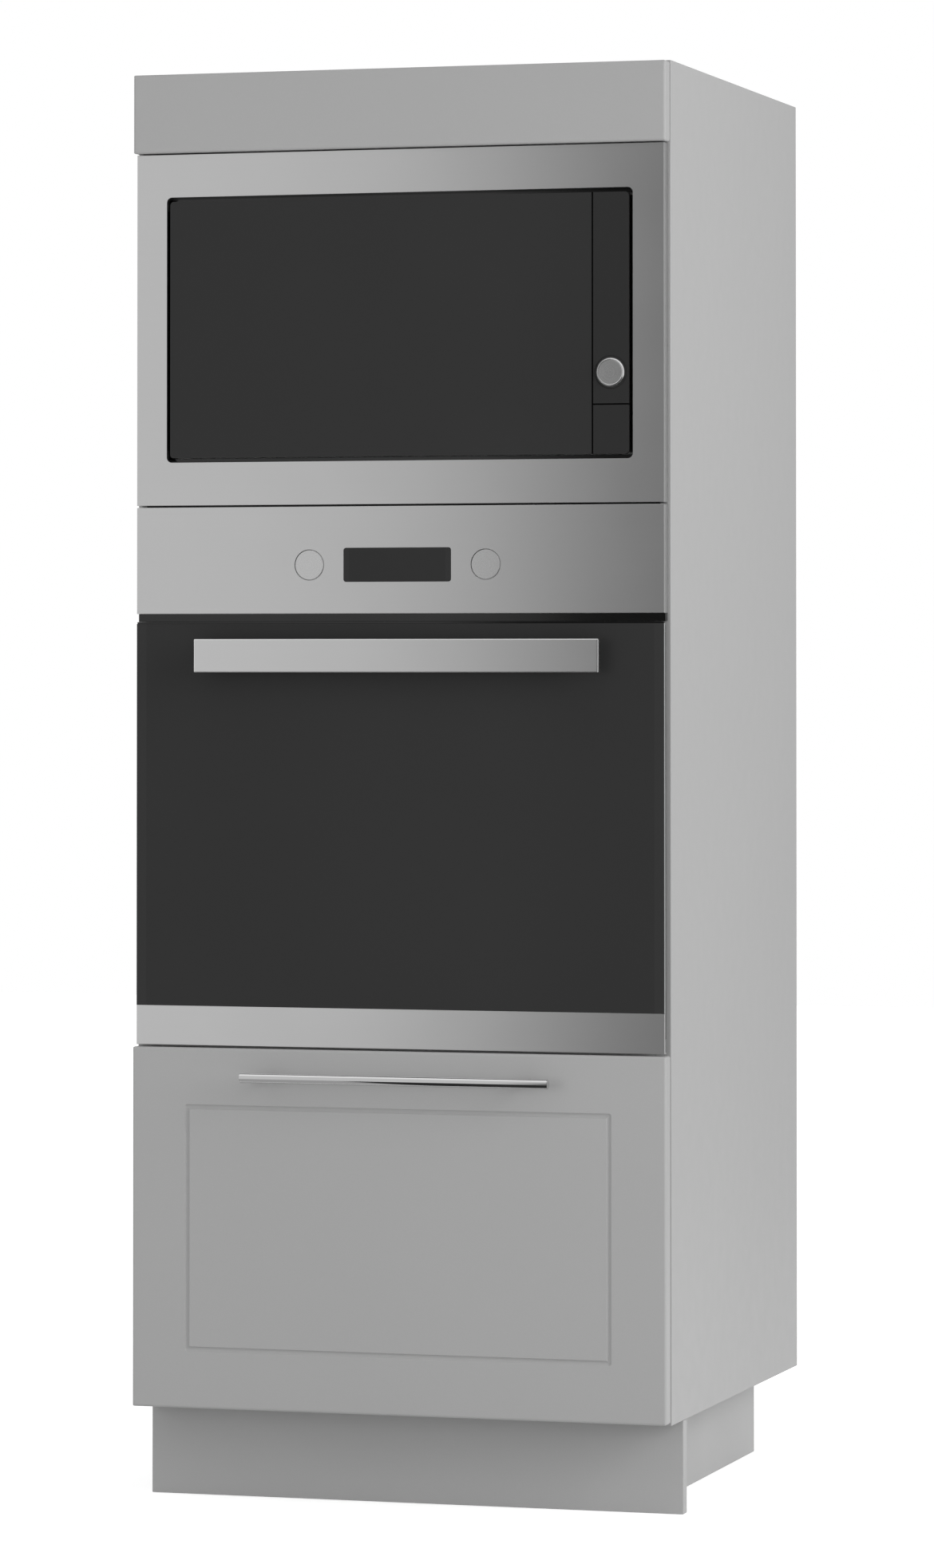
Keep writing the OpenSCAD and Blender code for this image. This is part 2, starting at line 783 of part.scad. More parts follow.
// A levelling foot: pad, grip collar with finger scallops, and tube
module foot(x, y) {
  collar_r = foot_tube_d / 2 + collar_wall;
  color(black_plastic) translate([x, y, 0]) {
    cylinder(d = foot_pad_d, h = foot_pad_t);
    translate([0, 0, foot_pad_t - 0.01])
      cylinder(d1 = foot_pad_d - foot_cone_h, d2 = foot_tube_d + collar_wall, h = foot_cone_h);
    difference() {
      translate([0, 0, foot_pad_t + collar_lift]) cylinder(r = collar_r, h = collar_h);
      for (a = [0:45:315]) rotate(a)
        translate([collar_r + scallop_r - 2, 0, foot_pad_t + 2 * collar_lift])
          cylinder(r = scallop_r, h = collar_h);
    }
    cylinder(d = foot_tube_d, h = plinth_h - seat_gap);
  }
}

module foot_front_left() {
  foot(-foot_x, foot_front_y);
}

module foot_front_right() {
  foot(foot_x, foot_front_y);
}

module foot_back_left() {
  foot(-foot_x, foot_back_y);
}

module foot_back_right() {
  foot(foot_x, foot_back_y);
}

// ---- Drawer and runners ----

// A channel whose web is at x = 0 and whose lips point to +X
module channel(w, h, l, t) {
  difference() {
    translate([0, 0, -h / 2]) cube([w, l, h]);
    translate([t, -cut, t - h / 2]) cube([w, l + 2 * cut, h - 2 * t]);
  }
}

module runner_outer() {
  color(zinc) both_sides() translate([-inner_w / 2, runner_y, runner_z])
    channel(runner_w - lip_gap, runner_h, runner_l, runner_t);
}

module runner_middle() {
  color(zinc) both_sides()
    translate([-inner_w / 2 + runner_t + seat_gap, runner_y + middle_end, runner_z])
      channel(runner_w - runner_t - seat_gap - lip_gap, middle_h, runner_l - 2 * middle_end,
        runner_t);
}

module runner_inner() {
  color(zinc) both_sides()
    translate([-drawer_w / 2, runner_y, runner_z]) mirror([1, 0, 0])
      channel(runner_w - 2 * runner_t - 4 * seat_gap, inner_h, runner_l, runner_t);
}

// The routed line: a round-nosed cutter run round a rectangle
module routed_line() {
  r = groove_line_w * groove_line_w / (8 * groove_line_d) + groove_line_d / 2;
  y = face_y + groove_line_d - r;
  x = front_w / 2 - groove_side;
  z0 = drawer_z + groove_edge;
  z1 = drawer_top_z - groove_edge;
  for (z = [z0, z1]) rod_x(-x, x, y, z, 2 * r);
  for (s = [-1, 1]) translate([s * x, y, z0]) cylinder(r = r, h = z1 - z0);
  for (s = [-1, 1], z = [z0, z1]) translate([s * x, y, z]) sphere(r);
}

module drawer_front() {
  color(board_grey) difference() {
    eased_board(-front_w / 2, front_w / 2, face_y, front_t, drawer_z, drawer_top_z, edge_r);
    routed_line();
    for (s = [-1, 1])
      rod_y(bar_shift + s * bar_pitch / 2, face_y - cut, drawer_y + cut, drawer_top_z - bar_drop,
        bar_hole_d);
  }
}

module drawer_sides() {
  inner = -drawer_w / 2 + drawer_board_t;
  color(board_grey) both_sides() difference() {
    box(-drawer_w / 2, inner, drawer_y, drawer_y + drawer_d, drawer_box_z,
      drawer_box_z + drawer_side_h);
    box(inner - groove_d, inner + cut, drawer_y - cut, drawer_y + drawer_d + cut,
      drawer_base_z - seat_gap / 2, drawer_base_z + drawer_base_t + seat_gap / 2);
  }
}

module drawer_back() {
  reach = drawer_w / 2 - drawer_board_t;
  y1 = drawer_y + drawer_d;
  color(board_grey) box(-reach, reach, y1 - drawer_board_t, y1,
    drawer_base_z + drawer_base_t, drawer_box_z + drawer_side_h - drawer_board_t);
}

module drawer_base() {
  reach = drawer_w / 2 - drawer_board_t + groove_d - seat_gap;
  color(board_grey) box(-reach, reach, drawer_y, drawer_y + drawer_d, drawer_base_z,
    drawer_base_z + drawer_base_t);
}

// A round bar on two posts, each with a blind screw bore in its foot
module drawer_handle() {
  z = drawer_top_z - bar_drop;
  y = face_y - bar_standoff;
  color(chrome) translate([bar_shift, 0, 0]) difference() {
    union() {
      rod_x(-bar_l / 2 + bar_bevel, bar_l / 2 - bar_bevel, y, z, bar_d);
      rod_x(-bar_l / 2, bar_l / 2, y, z, bar_d - 2 * bar_bevel);
      for (s = [-1, 1]) rod_y(s * bar_pitch / 2, y, face_y, z, bar_post_d);
    }
    for (s = [-1, 1])
      rod_y(s * bar_pitch / 2, face_y - bar_screw_depth, face_y + cut, z, bar_screw_d);
  }
}

// ---- Oven, fixed ----

module oven_casing() {
  x = casing_w / 2;
  top = oven_shelf_z + casing_h;
  color(zinc) difference() {
    union() {
      casing_shell(-x, x, carcass_y, casing_back_y, oven_shelf_z, top, casing_t);
      box(-x + casing_t / 2, x - casing_t / 2, bulkhead_y, bulkhead_y + casing_t,
        panel_z + 2, top - casing_t / 2);
    }
    for (s = [-1, 1])
      rod_y(s * knob_pitch / 2, bulkhead_y - cut, bulkhead_y + 2 * cut, knob_z, shaft_hole_d);
    for (i = [-6:6], row = [3, 4])
      translate([i * vent_slot_pitch - vent_slot_w / 2, casing_back_y - casing_t - cut,
        top - row * 3 * vent_slot_h]) cube([vent_slot_w, casing_t + 2 * cut, vent_slot_h]);
  }
}

module oven_cavity() {
  x = cavity_w / 2;
  color(enamel) difference() {
    union() {
      box(-x - cavity_t, x + cavity_t, flange_y, cavity_back_y + cavity_t, cavity_z - cavity_t,
        cavity_top_z + cavity_t);
      box(-flange_x, flange_x, flange_y, flange_y + cavity_t, oven_shelf_z + bulkhead_setback, panel_z);
    }
    box(-x, x, flange_y - cut, cavity_back_y, cavity_z, cavity_top_z);
    rod_y(0, cavity_back_y - cut, cavity_back_y + cavity_t + cut, cavity_mid_z, shaft_hole_d);
  }
}

module door_gasket() {
  inner = gasket_inset;
  outer = gasket_inset + gasket_w;
  color(dark) difference() {
    round_plate(-cavity_w / 2 - outer, cavity_w / 2 + outer, flange_y - gasket_t, flange_y,
      cavity_z - outer, cavity_top_z + outer, 2 * gasket_inset + gasket_w);
    round_plate(-cavity_w / 2 - inner, cavity_w / 2 + inner, flange_y - gasket_t - cut,
      flange_y + cut, cavity_z - inner, cavity_top_z + inner, 2 * gasket_inset);
  }
}

module control_panel() {
  color(steel) difference() {
    front_pan(panel_z, oven_top_z);
    for (s = [-1, 1])
      rod_y(s * knob_pitch / 2, fascia_y - cut, fascia_y + fascia_t + cut, knob_z,
        knob_d + 2 * knob_gap);
    round_plate(-display_w / 2 - seat_gap, display_w / 2 + seat_gap, fascia_y - cut,
      fascia_y + fascia_t + cut, knob_z - display_h / 2 - seat_gap,
      knob_z + display_h / 2 + seat_gap, display_r);
  }
}

module display_window() {
  color(glass_black)
    round_plate(-display_w / 2, display_w / 2, fascia_y, fascia_y + display_t,
      knob_z - display_h / 2, knob_z + display_h / 2, display_r);
}

// Two rotary switches behind the bulkhead, each with a bush for its shaft
module rotary_switches() {
  back = bulkhead_y + casing_t;
  half = switch_w / 2;
  color(black_plastic) for (x = [-knob_pitch / 2, knob_pitch / 2]) difference() {
    union() {
      box(x - half, x + half, back, back + switch_d, knob_z - half, knob_z + half);
      rod_y(x, bulkhead_y - bush_l, back + cut, knob_z, bush_d);
      for (i = [-1, 0, 1])
        box(x + i * tab_pitch - tab_w / 2, x + i * tab_pitch + tab_w / 2, back + switch_d - cut,
          back + switch_d + tab_l, knob_z - tab_t / 2, knob_z + tab_t / 2);
    }
    rod_y(x, bulkhead_y - bush_l - cut, back + switch_shaft_l + 1, knob_z,
      shaft_d + 2 * running_gap);
  }
}

// The recessed black outlet strip, with a row of slots in its underside
module air_outlet_trim() {
  x = fascia_w / 2 - seat_gap;
  y0 = fascia_y + outlet_setback;
  z0 = door_top_z + outlet_drop;
  half = vent_slot_w / 2 + 1;
  color(glass_black) difference() {
    box(-x, x, y0, fascia_back_y, z0, panel_z);
    for (i = [-9:9])
      box(i * vent_slot_pitch - half, i * vent_slot_pitch + half, y0 + fascia_t,
        fascia_back_y + cut, z0 - cut, panel_z - fascia_t);
  }
}

// One rack ladder: paired rails on two posts that stand off the cavity wall
module rack_ladder() {
  z0 = cavity_z + ladder_lift;
  rise = ladder_pitch * (rack_levels - 1) + ladder_pair;
  stand = ladder_pair;
  for (i = [0:rack_levels - 1], up = [0, ladder_pair])
    rod_y(ladder_x, ladder_front_y, ladder_back_y, z0 + i * ladder_pitch + up, rod_d);
  for (y = [ladder_front_y + ladder_post_inset, ladder_back_y - ladder_post_inset]) {
    translate([ladder_post_x, y, z0 - stand - rod_d]) cylinder(d = rod_d, h = rise + 2 * (stand + rod_d));
    for (z = [z0 - stand, z0 + rise + stand])
      rod_x(ladder_post_x, cavity_w / 2, y, z, rod_d);
  }
}

module side_racks() {
  color(chrome) both_sides() rack_ladder();
}

module wire_shelf() {
  rail_z = cavity_z + ladder_lift + (shelf_level - 1) * ladder_pitch;
  z = rail_z + rod_d / 2 + shelf_rod_d / 2 + seat_gap;
  x = ladder_x - 2;
  y0 = ladder_front_y + shelf_rod_d;
  y1 = ladder_back_y - shelf_rod_d;
  color(chrome) {
    for (s = [-1, 1]) rod_y(s * x, y0, y1, z, shelf_rod_d);
    for (y = [y0 + shelf_rod_d, (y0 + y1) / 2, y1 - shelf_rod_d])
      rod_x(-x, x, y, z, shelf_rod_d - 1);
    for (i = [1:shelf_wires - 1])
      rod_y(-x + i * 2 * x / shelf_wires, y0 + shelf_wire_d, y1 - shelf_wire_d, z + 1, shelf_wire_d);
  }
}

// A shallow cover in front of the fan: round intake grille and side outlets
module fan_cover() {
  w = cover_w / 2;
  h = cover_h / 2;
  t = cover_t;
  y0 = cavity_back_y - fan_space;
  z = cavity_mid_z;
  color(enamel) difference() {
    box(-w, w, y0, cavity_back_y, z - h, z + h);
    box(t - w, w - t, y0 + t, cavity_back_y + cut, z - h + t, z + h - t);
    for (ring = [1:4], i = [0:ring * 6 - 1]) {
      a = i * 360 / (ring * 6);
      rod_y(ring * cover_ring * cos(a), y0 - cut, y0 + 2 * t, z + ring * cover_ring * sin(a),
        cover_hole_d);
    }
    rod_y(0, y0 - cut, y0 + 2 * t, z, cover_hole_d);
    for (x = [cover_slot_inset - w, w - cover_slot_inset], i = [-4:4])
      box(x - cover_slot_w / 2, x + cover_slot_w / 2, y0 - cut, y0 + 2 * t,
        z + i * h / 5 - cover_slot_h / 2, z + i * h / 5 + cover_slot_h / 2);
  }
}

// One unbroken tube that runs back and forth under the cavity's roof
module grill_element() {
  bend = grill_bend;
  z = cavity_top_z - grill_drop;
  front = flange_y + 2 * bend;
  rear = cavity_back_y - 1.4 * bend;
  color(dark) {
    for (s = [-1, 1]) {
      rod_y(s * 3 * bend, front, cavity_back_y, z, grill_tube_d);
      rod_y(s * bend, front, rear, z, grill_tube_d);
      translate([s * 2 * bend, front, z]) rotate([0, 0, 180])
        rotate_extrude(angle = 180) translate([bend, 0]) circle(d = grill_tube_d);
    }
    translate([0, rear, z])
      rotate_extrude(angle = 180) translate([bend, 0]) circle(d = grill_tube_d);
  }
}

// Two hinge arms with their pins, each rising out of a receiver block
module hinge_brackets() {
  x1 = hinge_span / 2;
  x0 = x1 - arm_t;
  z0 = oven_shelf_z + casing_t;
  receiver_y = flange_y + cavity_t + seat_gap;
  color(zinc) both_sides() {
    rod_x(x0, x1, hinge_y, hinge_z, 2 * eye_r);
    box(x0, x1, hinge_y, receiver_y + cut, z0, hinge_z + eye_r);
    rod_x(x0 - cheek_gap - cheek_t - pin_end, x1, hinge_y, hinge_z, hinge_pin_d);
    box(x0 - receiver_wall, x1 + receiver_wall, receiver_y, receiver_y + receiver_l, z0,
      z0 + receiver_h);
  }
}

module fan_motor() {
  y0 = cavity_back_y + cavity_t;
  foot_w = motor_d + 2 * socket_rim;
  color(zinc) difference() {
    union() {
      box(-foot_w / 2, foot_w / 2, y0, y0 + 2, cavity_mid_z - bearing_d / 2,
        cavity_mid_z + bearing_d / 2);
      rod_y(0, y0, y0 + motor_l, cavity_mid_z, motor_d);
      rod_y(0, y0, y0 + motor_l + bearing_l, cavity_mid_z, bearing_d);
    }
    rod_y(0, y0 - cut, y0 + motor_l + bearing_l / 2, cavity_mid_z, shaft_d + 2 * running_gap);
  }
}

// Mains terminal box on the casing's back, with a gland that points down
module terminal_box() {
  z0 = oven_shelf_z + casing_h - terminal_drop;
  gland_d = gland_bore_d + 2 * gland_wall;
  color(black_plastic) difference() {
    union() {
      box(terminal_x - terminal_w / 2, terminal_x + terminal_w / 2, casing_back_y,
        casing_back_y + terminal_d, z0, z0 + terminal_h);
      translate([terminal_x, casing_back_y + terminal_d / 2, z0 - gland_l])
        cylinder(d = gland_d, h = gland_l + cut);
      translate([terminal_x, casing_back_y + terminal_d / 2, z0 - 2 * gland_wall])
        cylinder(d = gland_d + gland_wall, h = 2 * gland_wall, $fn = 6);
    }
    translate([terminal_x, casing_back_y + terminal_d / 2, z0 - gland_l - cut])
      cylinder(d = gland_bore_d, h = 1.5 * gland_l + cut);
  }
}

// ---- Oven, moving ----

module convection_fan() {
  disc_y = cavity_back_y - 6;
  y0 = cavity_back_y - fan_space + 5;
  color(zinc) translate([0, 0, cavity_mid_z]) {
    rod_y(0, disc_y, disc_y + fan_disc_t, 0, fan_d);
    rod_y(0, y0, disc_y + 1, 0, fan_hub_d);
    rod_y(0, y0, cavity_back_y + cavity_t + motor_l + 2, 0, shaft_d);
    for (i = [0:fan_blades - 1]) rotate([0, i * 360 / fan_blades, 0])
      translate([blade_root, y0 + 1, 0]) rotate([0, 20, 0])
        translate([bearing_l, 0, -blade_t / 2])
          cube([fan_d / 2 - blade_root - blade_t * 10, disc_y + fan_disc_t / 3 - y0 - 1, blade_t]);
  }
}

module knob_shaft(s) {
  color(zinc) rod_y(s * knob_pitch / 2, fascia_y + shaft_recess,
    bulkhead_y + casing_t + switch_shaft_l, knob_z, shaft_d);
}

module knob_shaft_left() {
  knob_shaft(-1);
}

module knob_shaft_right() {
  knob_shaft(1);
}

// A cup-shaped knob with a bevelled face and a hub that slides on its shaft
module oven_knob(s) {
  r = knob_d / 2;
  color(steel) translate([s * knob_pitch / 2, fascia_y, knob_z]) rotate([-90, 0, 0])
    rotate_extrude() {
      polygon([[0, 0], [r - knob_bevel, 0], [r, knob_bevel], [r, knob_depth],
        [r - knob_wall, knob_depth], [r - knob_wall, knob_face_t], [0, knob_face_t]]);
      translate([shaft_d / 2 + running_gap, 1]) square([hub_wall, knob_hub_l - 1]);
    }
}

module oven_knob_left() {
  oven_knob(-1);
}

module oven_knob_right() {
  oven_knob(1);
}

module door_glass() {
  color(glass_black)
    box(-fascia_w / 2, fascia_w / 2, fascia_y, fascia_y + glass_t, glass_z, door_top_z);
}

module door_inner_glass() {
  x = door_inner_w / 2 - cheek_t;
  color(glass_black)
    box(-x, x, door_back_y - glass_t, door_back_y, door_core_z + 2, door_frame_top_z - 2);
}

// The frame between the glasses, with its window and the two hinge cheeks
module door_frame() {
  rim_x = fascia_w / 2 - 2;
  x = door_inner_w / 2;
  cheek_x1 = hinge_span / 2 - arm_t - cheek_gap;
  cheek_x0 = cheek_x1 - cheek_t;
  color(enamel) difference() {
    union() {
      box(-rim_x, rim_x, fascia_y + glass_t, door_rim_y, door_frame_z, door_frame_top_z);
      box(-x, x, fascia_y + glass_t, door_back_y - glass_t, door_core_z, door_frame_top_z);
      both_sides() {
        rod_x(cheek_x0, cheek_x1, hinge_y, hinge_z, 2 * eye_r);
        box(cheek_x0, cheek_x1, hinge_y - 2, hinge_y + eye_r, hinge_z, door_frame_z + cut);
      }
    }
    box(door_stile - x, x - door_stile, fascia_y, door_back_y, cavity_z - window_reach, cavity_top_z);
    both_sides()
      rod_x(cheek_x0 - cut, cheek_x1 + cut, hinge_y, hinge_z, hinge_pin_d + 2 * running_gap);
  }
}

// The folded steel strip below the glass, notched round the hinge arms
module door_trim() {
  x = fascia_w / 2;
  sheet = trim_sheet;
  lip = hinge_back + trim_lip;
  color(steel) difference() {
    intersection() {
      union() {
        box(-x, x, fascia_y, fascia_y + sheet, oven_z, glass_z);
        box(-x, x, fascia_y, fascia_y + lip, oven_z, oven_z + sheet);
        box(-x, x, fascia_y, fascia_y + glass_t, glass_z - sheet, glass_z);
        both_sides() box(x - sheet, x, fascia_y, fascia_y + glass_t, oven_z, glass_z);
      }
      eased_board(-x, x, fascia_y, lip, oven_z, glass_z, fascia_r);
    }
    both_sides() box(hinge_span / 2 - arm_t - cheek_gap, hinge_span / 2 + cheek_gap,
      fascia_y + sheet + pin_end, fascia_y + lip + cut, oven_z - cut, oven_z + sheet + cut);
  }
}

module oven_handle() {
  y0 = fascia_y - handle_reach;
  z1 = door_top_z - handle_drop;
  color(steel) translate([handle_shift, 0, 0]) {
    eased_board(-handle_l / 2, handle_l / 2, y0, handle_t, z1 - handle_h, z1, handle_r);
    for (s = [-1, 1])
      rod_y(s * handle_pitch / 2, y0 + handle_t - cut, fascia_y, z1 - handle_h / 2, handle_post_d);
  }
}

// ---- Microwave, fixed ----

module microwave_frame() {
  x = mw_open_w / 2;
  z0 = mw_open_z;
  z1 = mw_open_z + mw_open_h;
  color(steel) difference() {
    union() {
      front_pan(mw_z, mw_top_z);
      round_plate(-x - fascia_t, x + fascia_t, fascia_y, fascia_back_y, z0 - fascia_t, z1 + fascia_t,
        mw_open_r + fascia_t);
    }
    round_plate(-x, x, fascia_y - cut, fascia_back_y + cut, z0, z1, mw_open_r);
  }
}

module microwave_casing() {
  x = mw_casing_w / 2;
  color(zinc) difference() {
    casing_shell(-x, x, carcass_y, carcass_y + mw_casing_d, mw_shelf_z, mw_shelf_z + mw_casing_h,
      casing_t);
    for (i = [-5:5], row = [0:5])
      translate([mw_vent_x + i * mw_vent_pitch, carcass_y + mw_casing_d - casing_t - cut,
        mw_shelf_z + mw_vent_lift + row * mw_vent_pitch])
        cube([mw_vent_w, casing_t + 2 * cut, vent_slot_h]);
  }
}

// The cavity with its front plate, hinge tabs and latch slots
module microwave_cavity() {
  px = mw_casing_w / 2 - casing_t - seat_gap;
  x0 = mw_cavity_x;
  x1 = mw_cavity_x + mw_cavity_w;
  z0 = mw_cavity_z;
  z1 = mw_cavity_z + mw_cavity_h;
  color(zinc) difference() {
    union() {
      box(-px, px, bulkhead_y, mw_floor_y, mw_shelf_z + casing_t + seat_gap,
        mw_shelf_z + mw_casing_h - casing_t - seat_gap);
      box(x0 - 1, x1 + 1, bulkhead_y, mw_floor_y + mw_cavity_d + 1, z0 - 1, z1 + 1);
      for (z = mw_tabs_z) {
        translate([mw_hinge_x, mw_hinge_y, z]) cylinder(r = mw_eye_r, h = mw_tab_t);
        box(mw_hinge_x, mw_hinge_x + mw_eye_r, mw_hinge_y, mw_floor_y, z, z + mw_tab_t);
      }
    }
    box(x0, x1, bulkhead_y - cut, mw_floor_y + mw_cavity_d, z0, z1);
    for (z = mw_tabs_z) translate([mw_hinge_x, mw_hinge_y, z - cut])
      cylinder(d = mw_pin_d + 2 * running_gap, h = mw_tab_t + 2 * cut);
    for (z = [mw_hook_low, mw_hook_high])
      box(mw_hook_x - hook_t, mw_hook_x + hook_w, bulkhead_y - cut, mw_floor_y + cut,
        z - hook_w - 2, z + hook_w);
    rod_y(strip_mid_x, bulkhead_y - cut, mw_floor_y + cut, mw_knob_z, shaft_d + button_stem_d);
    rod_y(strip_mid_x, bulkhead_y - cut, mw_floor_y + cut, release_z, 1.5 * button_stem_d);
    translate([turntable_x, turntable_y, z0 - 1 - cut]) cylinder(d = drive_d + shaft_d, h = 3 * cut);
  }
}

// The pane with the knob's hole, over a housing that guides knob and button
module control_strip() {
  x0 = strip_x + strip_side_gap / 2;
  x1 = pane_x - strip_side_gap;
  back = bulkhead_y - seat_gap;
  color(glass_black) difference() {
    union() {
      intersection() {
        round_plate(strip_x - pane_r, pane_x, pane_y, pane_back_y, release_top_z - pane_r, pane_top_z,
          pane_r);
        box(strip_x, pane_x, pane_y, pane_back_y, release_top_z + pane_seam / 2, pane_top_z);
      }
      box(x0, x1, pane_back_y - 0.5, back, release_top_z + 2, pane_top_z - 2);
      box(x0, x1, pane_back_y + release_travel + 1, back, pane_z + 2, release_top_z + 3);
    }
    rod_y(strip_mid_x, pane_y - cut, pane_back_y + 4 * release_travel, mw_knob_z,
      mw_knob_d + 2 * seat_gap);
    rod_y(strip_mid_x, pane_y - cut, back + cut, mw_knob_z, shaft_d + 2 * running_gap);
    rod_y(strip_mid_x, pane_y - cut, back + cut, release_z, button_stem_d + 2 * running_gap);
  }
}

module turntable_motor() {
  z1 = mw_cavity_z - 1;
  foot_w = mw_motor_d + 2 * choke_inset;
  color(zinc) difference() {
    union() {
      translate([turntable_x, turntable_y, z1 - mw_motor_h]) cylinder(d = mw_motor_d, h = mw_motor_h);
      translate([turntable_x - foot_w / 2, turntable_y - drive_d, z1 - 2]) cube([foot_w, 2 * drive_d, 2]);
    }
    translate([turntable_x, turntable_y, z1 - mw_motor_h + 4])
      cylinder(d = drive_d + 2 * running_gap, h = mw_motor_h);
  }
}

// ---- Microwave, moving ----

module microwave_door_glass() {
  color(glass_black) intersection() {
    round_plate(-pane_x, door_x + pane_r, pane_y, pane_back_y, pane_z, pane_top_z, pane_r);
    box(-pane_x, door_x, pane_y, pane_back_y, pane_z, pane_top_z);
  }
}

// The door's choke frame with its window recess, hinge pins and latch hooks
module microwave_door_frame() {
  x0 = -pane_x + mw_door_side;
  x1 = door_x - mw_door_side;
  z0 = mw_tabs_z[0] + mw_tab_t + mw_tab_gap;
  z1 = mw_tabs_z[1] - mw_tab_gap;
  pin_l = mw_tab_gap + mw_tab_t + pin_end;
  c = choke_inset;
  color(dark) {
    difference() {
      box(x0, x1, pane_back_y, mw_door_back_y, z0, z1);
      box(mw_cavity_x + c, mw_cavity_x + mw_cavity_w - c, mw_door_back_y - c, mw_door_back_y + cut,
        mw_cavity_z + c, mw_cavity_z + mw_cavity_h - c);
    }
    translate([mw_hinge_x, mw_hinge_y, z0 - pin_l]) cylinder(d = mw_pin_d, h = z1 - z0 + 2 * pin_l);
    for (z = [mw_hook_low, mw_hook_high]) {
      box(mw_hook_x, mw_hook_x + hook_t, mw_door_back_y - cut, bulkhead_y + 14, z - hook_w / 2,
        z + hook_w / 2);
      box(mw_hook_x, mw_hook_x + hook_t, bulkhead_y + 8, bulkhead_y + 14, z - hook_w, z + hook_w / 2);
    }
  }
}

module release_button() {
  color(glass_black) {
    intersection() {
      round_plate(strip_x - pane_r, pane_x, pane_y, pane_back_y, pane_z, release_top_z + pane_r, pane_r);
      box(strip_x, pane_x, pane_y, pane_back_y, pane_z, release_top_z - pane_seam / 2);
    }
    rod_y(strip_mid_x, pane_back_y - 1, bulkhead_y + 10, release_z, button_stem_d);
  }
}

// A flat steel knob with a bevelled rim, a skirt and its own shaft
module timer_knob() {
  r = mw_knob_d / 2;
  p = mw_knob_proud;
  skirt = p + pane_t + release_travel;
  color(steel) {
    translate([strip_mid_x, pane_y - p, mw_knob_z]) rotate([-90, 0, 0]) rotate_extrude()
      polygon([[0, 0.3], [r - 2.6, 0.3], [r - 2.2, 0], [r - 1.8, 0], [r, 1.8], [r, skirt],
        [0, skirt]]);
    rod_y(strip_mid_x, pane_y, bulkhead_y + 12, mw_knob_z, shaft_d);
  }
}

// A glass plate with a raised rim and the drive hub under its middle
module turntable() {
  r = turntable_d / 2;
  rim = plate_rim_h;
  color([0.75, 0.8, 0.8]) translate([turntable_x, turntable_y, turntable_z]) {
    rotate_extrude()
      polygon([[0, 0], [r - rim, 0], [r - 2, 8], [r, rim], [r - 3, rim], [r - rim - 2, plate_t],
        [0, plate_t]]);
    translate([0, 0, 4 - roller_d]) cylinder(d = plate_hub_d, h = roller_d - 3);
    translate([0, 0, -roller_d - mw_motor_h + 4]) cylinder(d = drive_d, h = roller_d + mw_motor_h - 4);
  }
}

// A ring that carries three rollers on the cavity's floor
module roller_ring() {
  ring_r = turntable_d / 3;
  hub_z = mw_cavity_z + seat_gap + roller_d / 2;
  color(black_plastic) translate([turntable_x, turntable_y, hub_z]) {
    difference() {
      translate([0, 0, -ring_t / 2]) cylinder(r = ring_r, h = ring_t);
      translate([0, 0, -ring_t / 2 - cut]) cylinder(r = ring_r - ring_w, h = ring_t + 2 * cut);
    }
    for (a = [90, 210, 330]) rotate(a) {
      rod_x(ring_r - 5, ring_r + 16, 0, 0, 4);
      rod_x(ring_r + 6, ring_r + 16, 0, 0, roller_d);
    }
  }
}

side_left();
side_right();
bottom_panel();
oven_shelf();
microwave_shelf();
top_panel();
back_panel();
wall_rail();
top_filler();
filler_brackets();
plinth_front();
plinth_returns();
leg_sockets();
foot_front_left();
foot_front_right();
foot_back_left();
foot_back_right();
runner_outer();
runner_middle();
runner_inner();
drawer_front();
drawer_sides();
drawer_back();
drawer_base();
drawer_handle();
oven_casing();
oven_cavity();
door_gasket();
control_panel();
display_window();
rotary_switches();
air_outlet_trim();
side_racks();
wire_shelf();
fan_cover();
grill_element();
hinge_brackets();
fan_motor();
terminal_box();
convection_fan();
knob_shaft_left();
knob_shaft_right();
oven_knob_left();
oven_knob_right();
door_glass();
door_inner_glass();
door_frame();
door_trim();
oven_handle();
microwave_frame();
microwave_casing();
microwave_cavity();
control_strip();
turntable_motor();
microwave_door_glass();
microwave_door_frame();
release_button();
timer_knob();
turntable();
roller_ring();
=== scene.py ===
"""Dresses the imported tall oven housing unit: finishes, small fittings and a plain studio."""
import math

import bmesh
import bpy
import numpy as np
from bpy.props import FloatProperty, FloatVectorProperty, IntProperty, PointerProperty
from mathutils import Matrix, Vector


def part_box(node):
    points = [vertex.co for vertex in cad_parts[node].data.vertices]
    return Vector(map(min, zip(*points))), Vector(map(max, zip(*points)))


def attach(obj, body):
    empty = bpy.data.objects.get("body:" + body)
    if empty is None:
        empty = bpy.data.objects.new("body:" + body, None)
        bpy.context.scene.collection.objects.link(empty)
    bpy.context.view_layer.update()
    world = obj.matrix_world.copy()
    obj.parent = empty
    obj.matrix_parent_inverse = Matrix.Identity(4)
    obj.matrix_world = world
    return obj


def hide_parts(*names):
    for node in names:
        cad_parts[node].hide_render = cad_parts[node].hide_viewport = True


bl_info = {
    "name": "Tall oven housing unit",
    "version": (1, 0, 0),
    "blender": (4, 5, 0),
    "location": "View3D > Sidebar > Oven unit",
    "description": "Finishes, fittings and studio for a tall oven housing unit",
    "category": "Object",
}

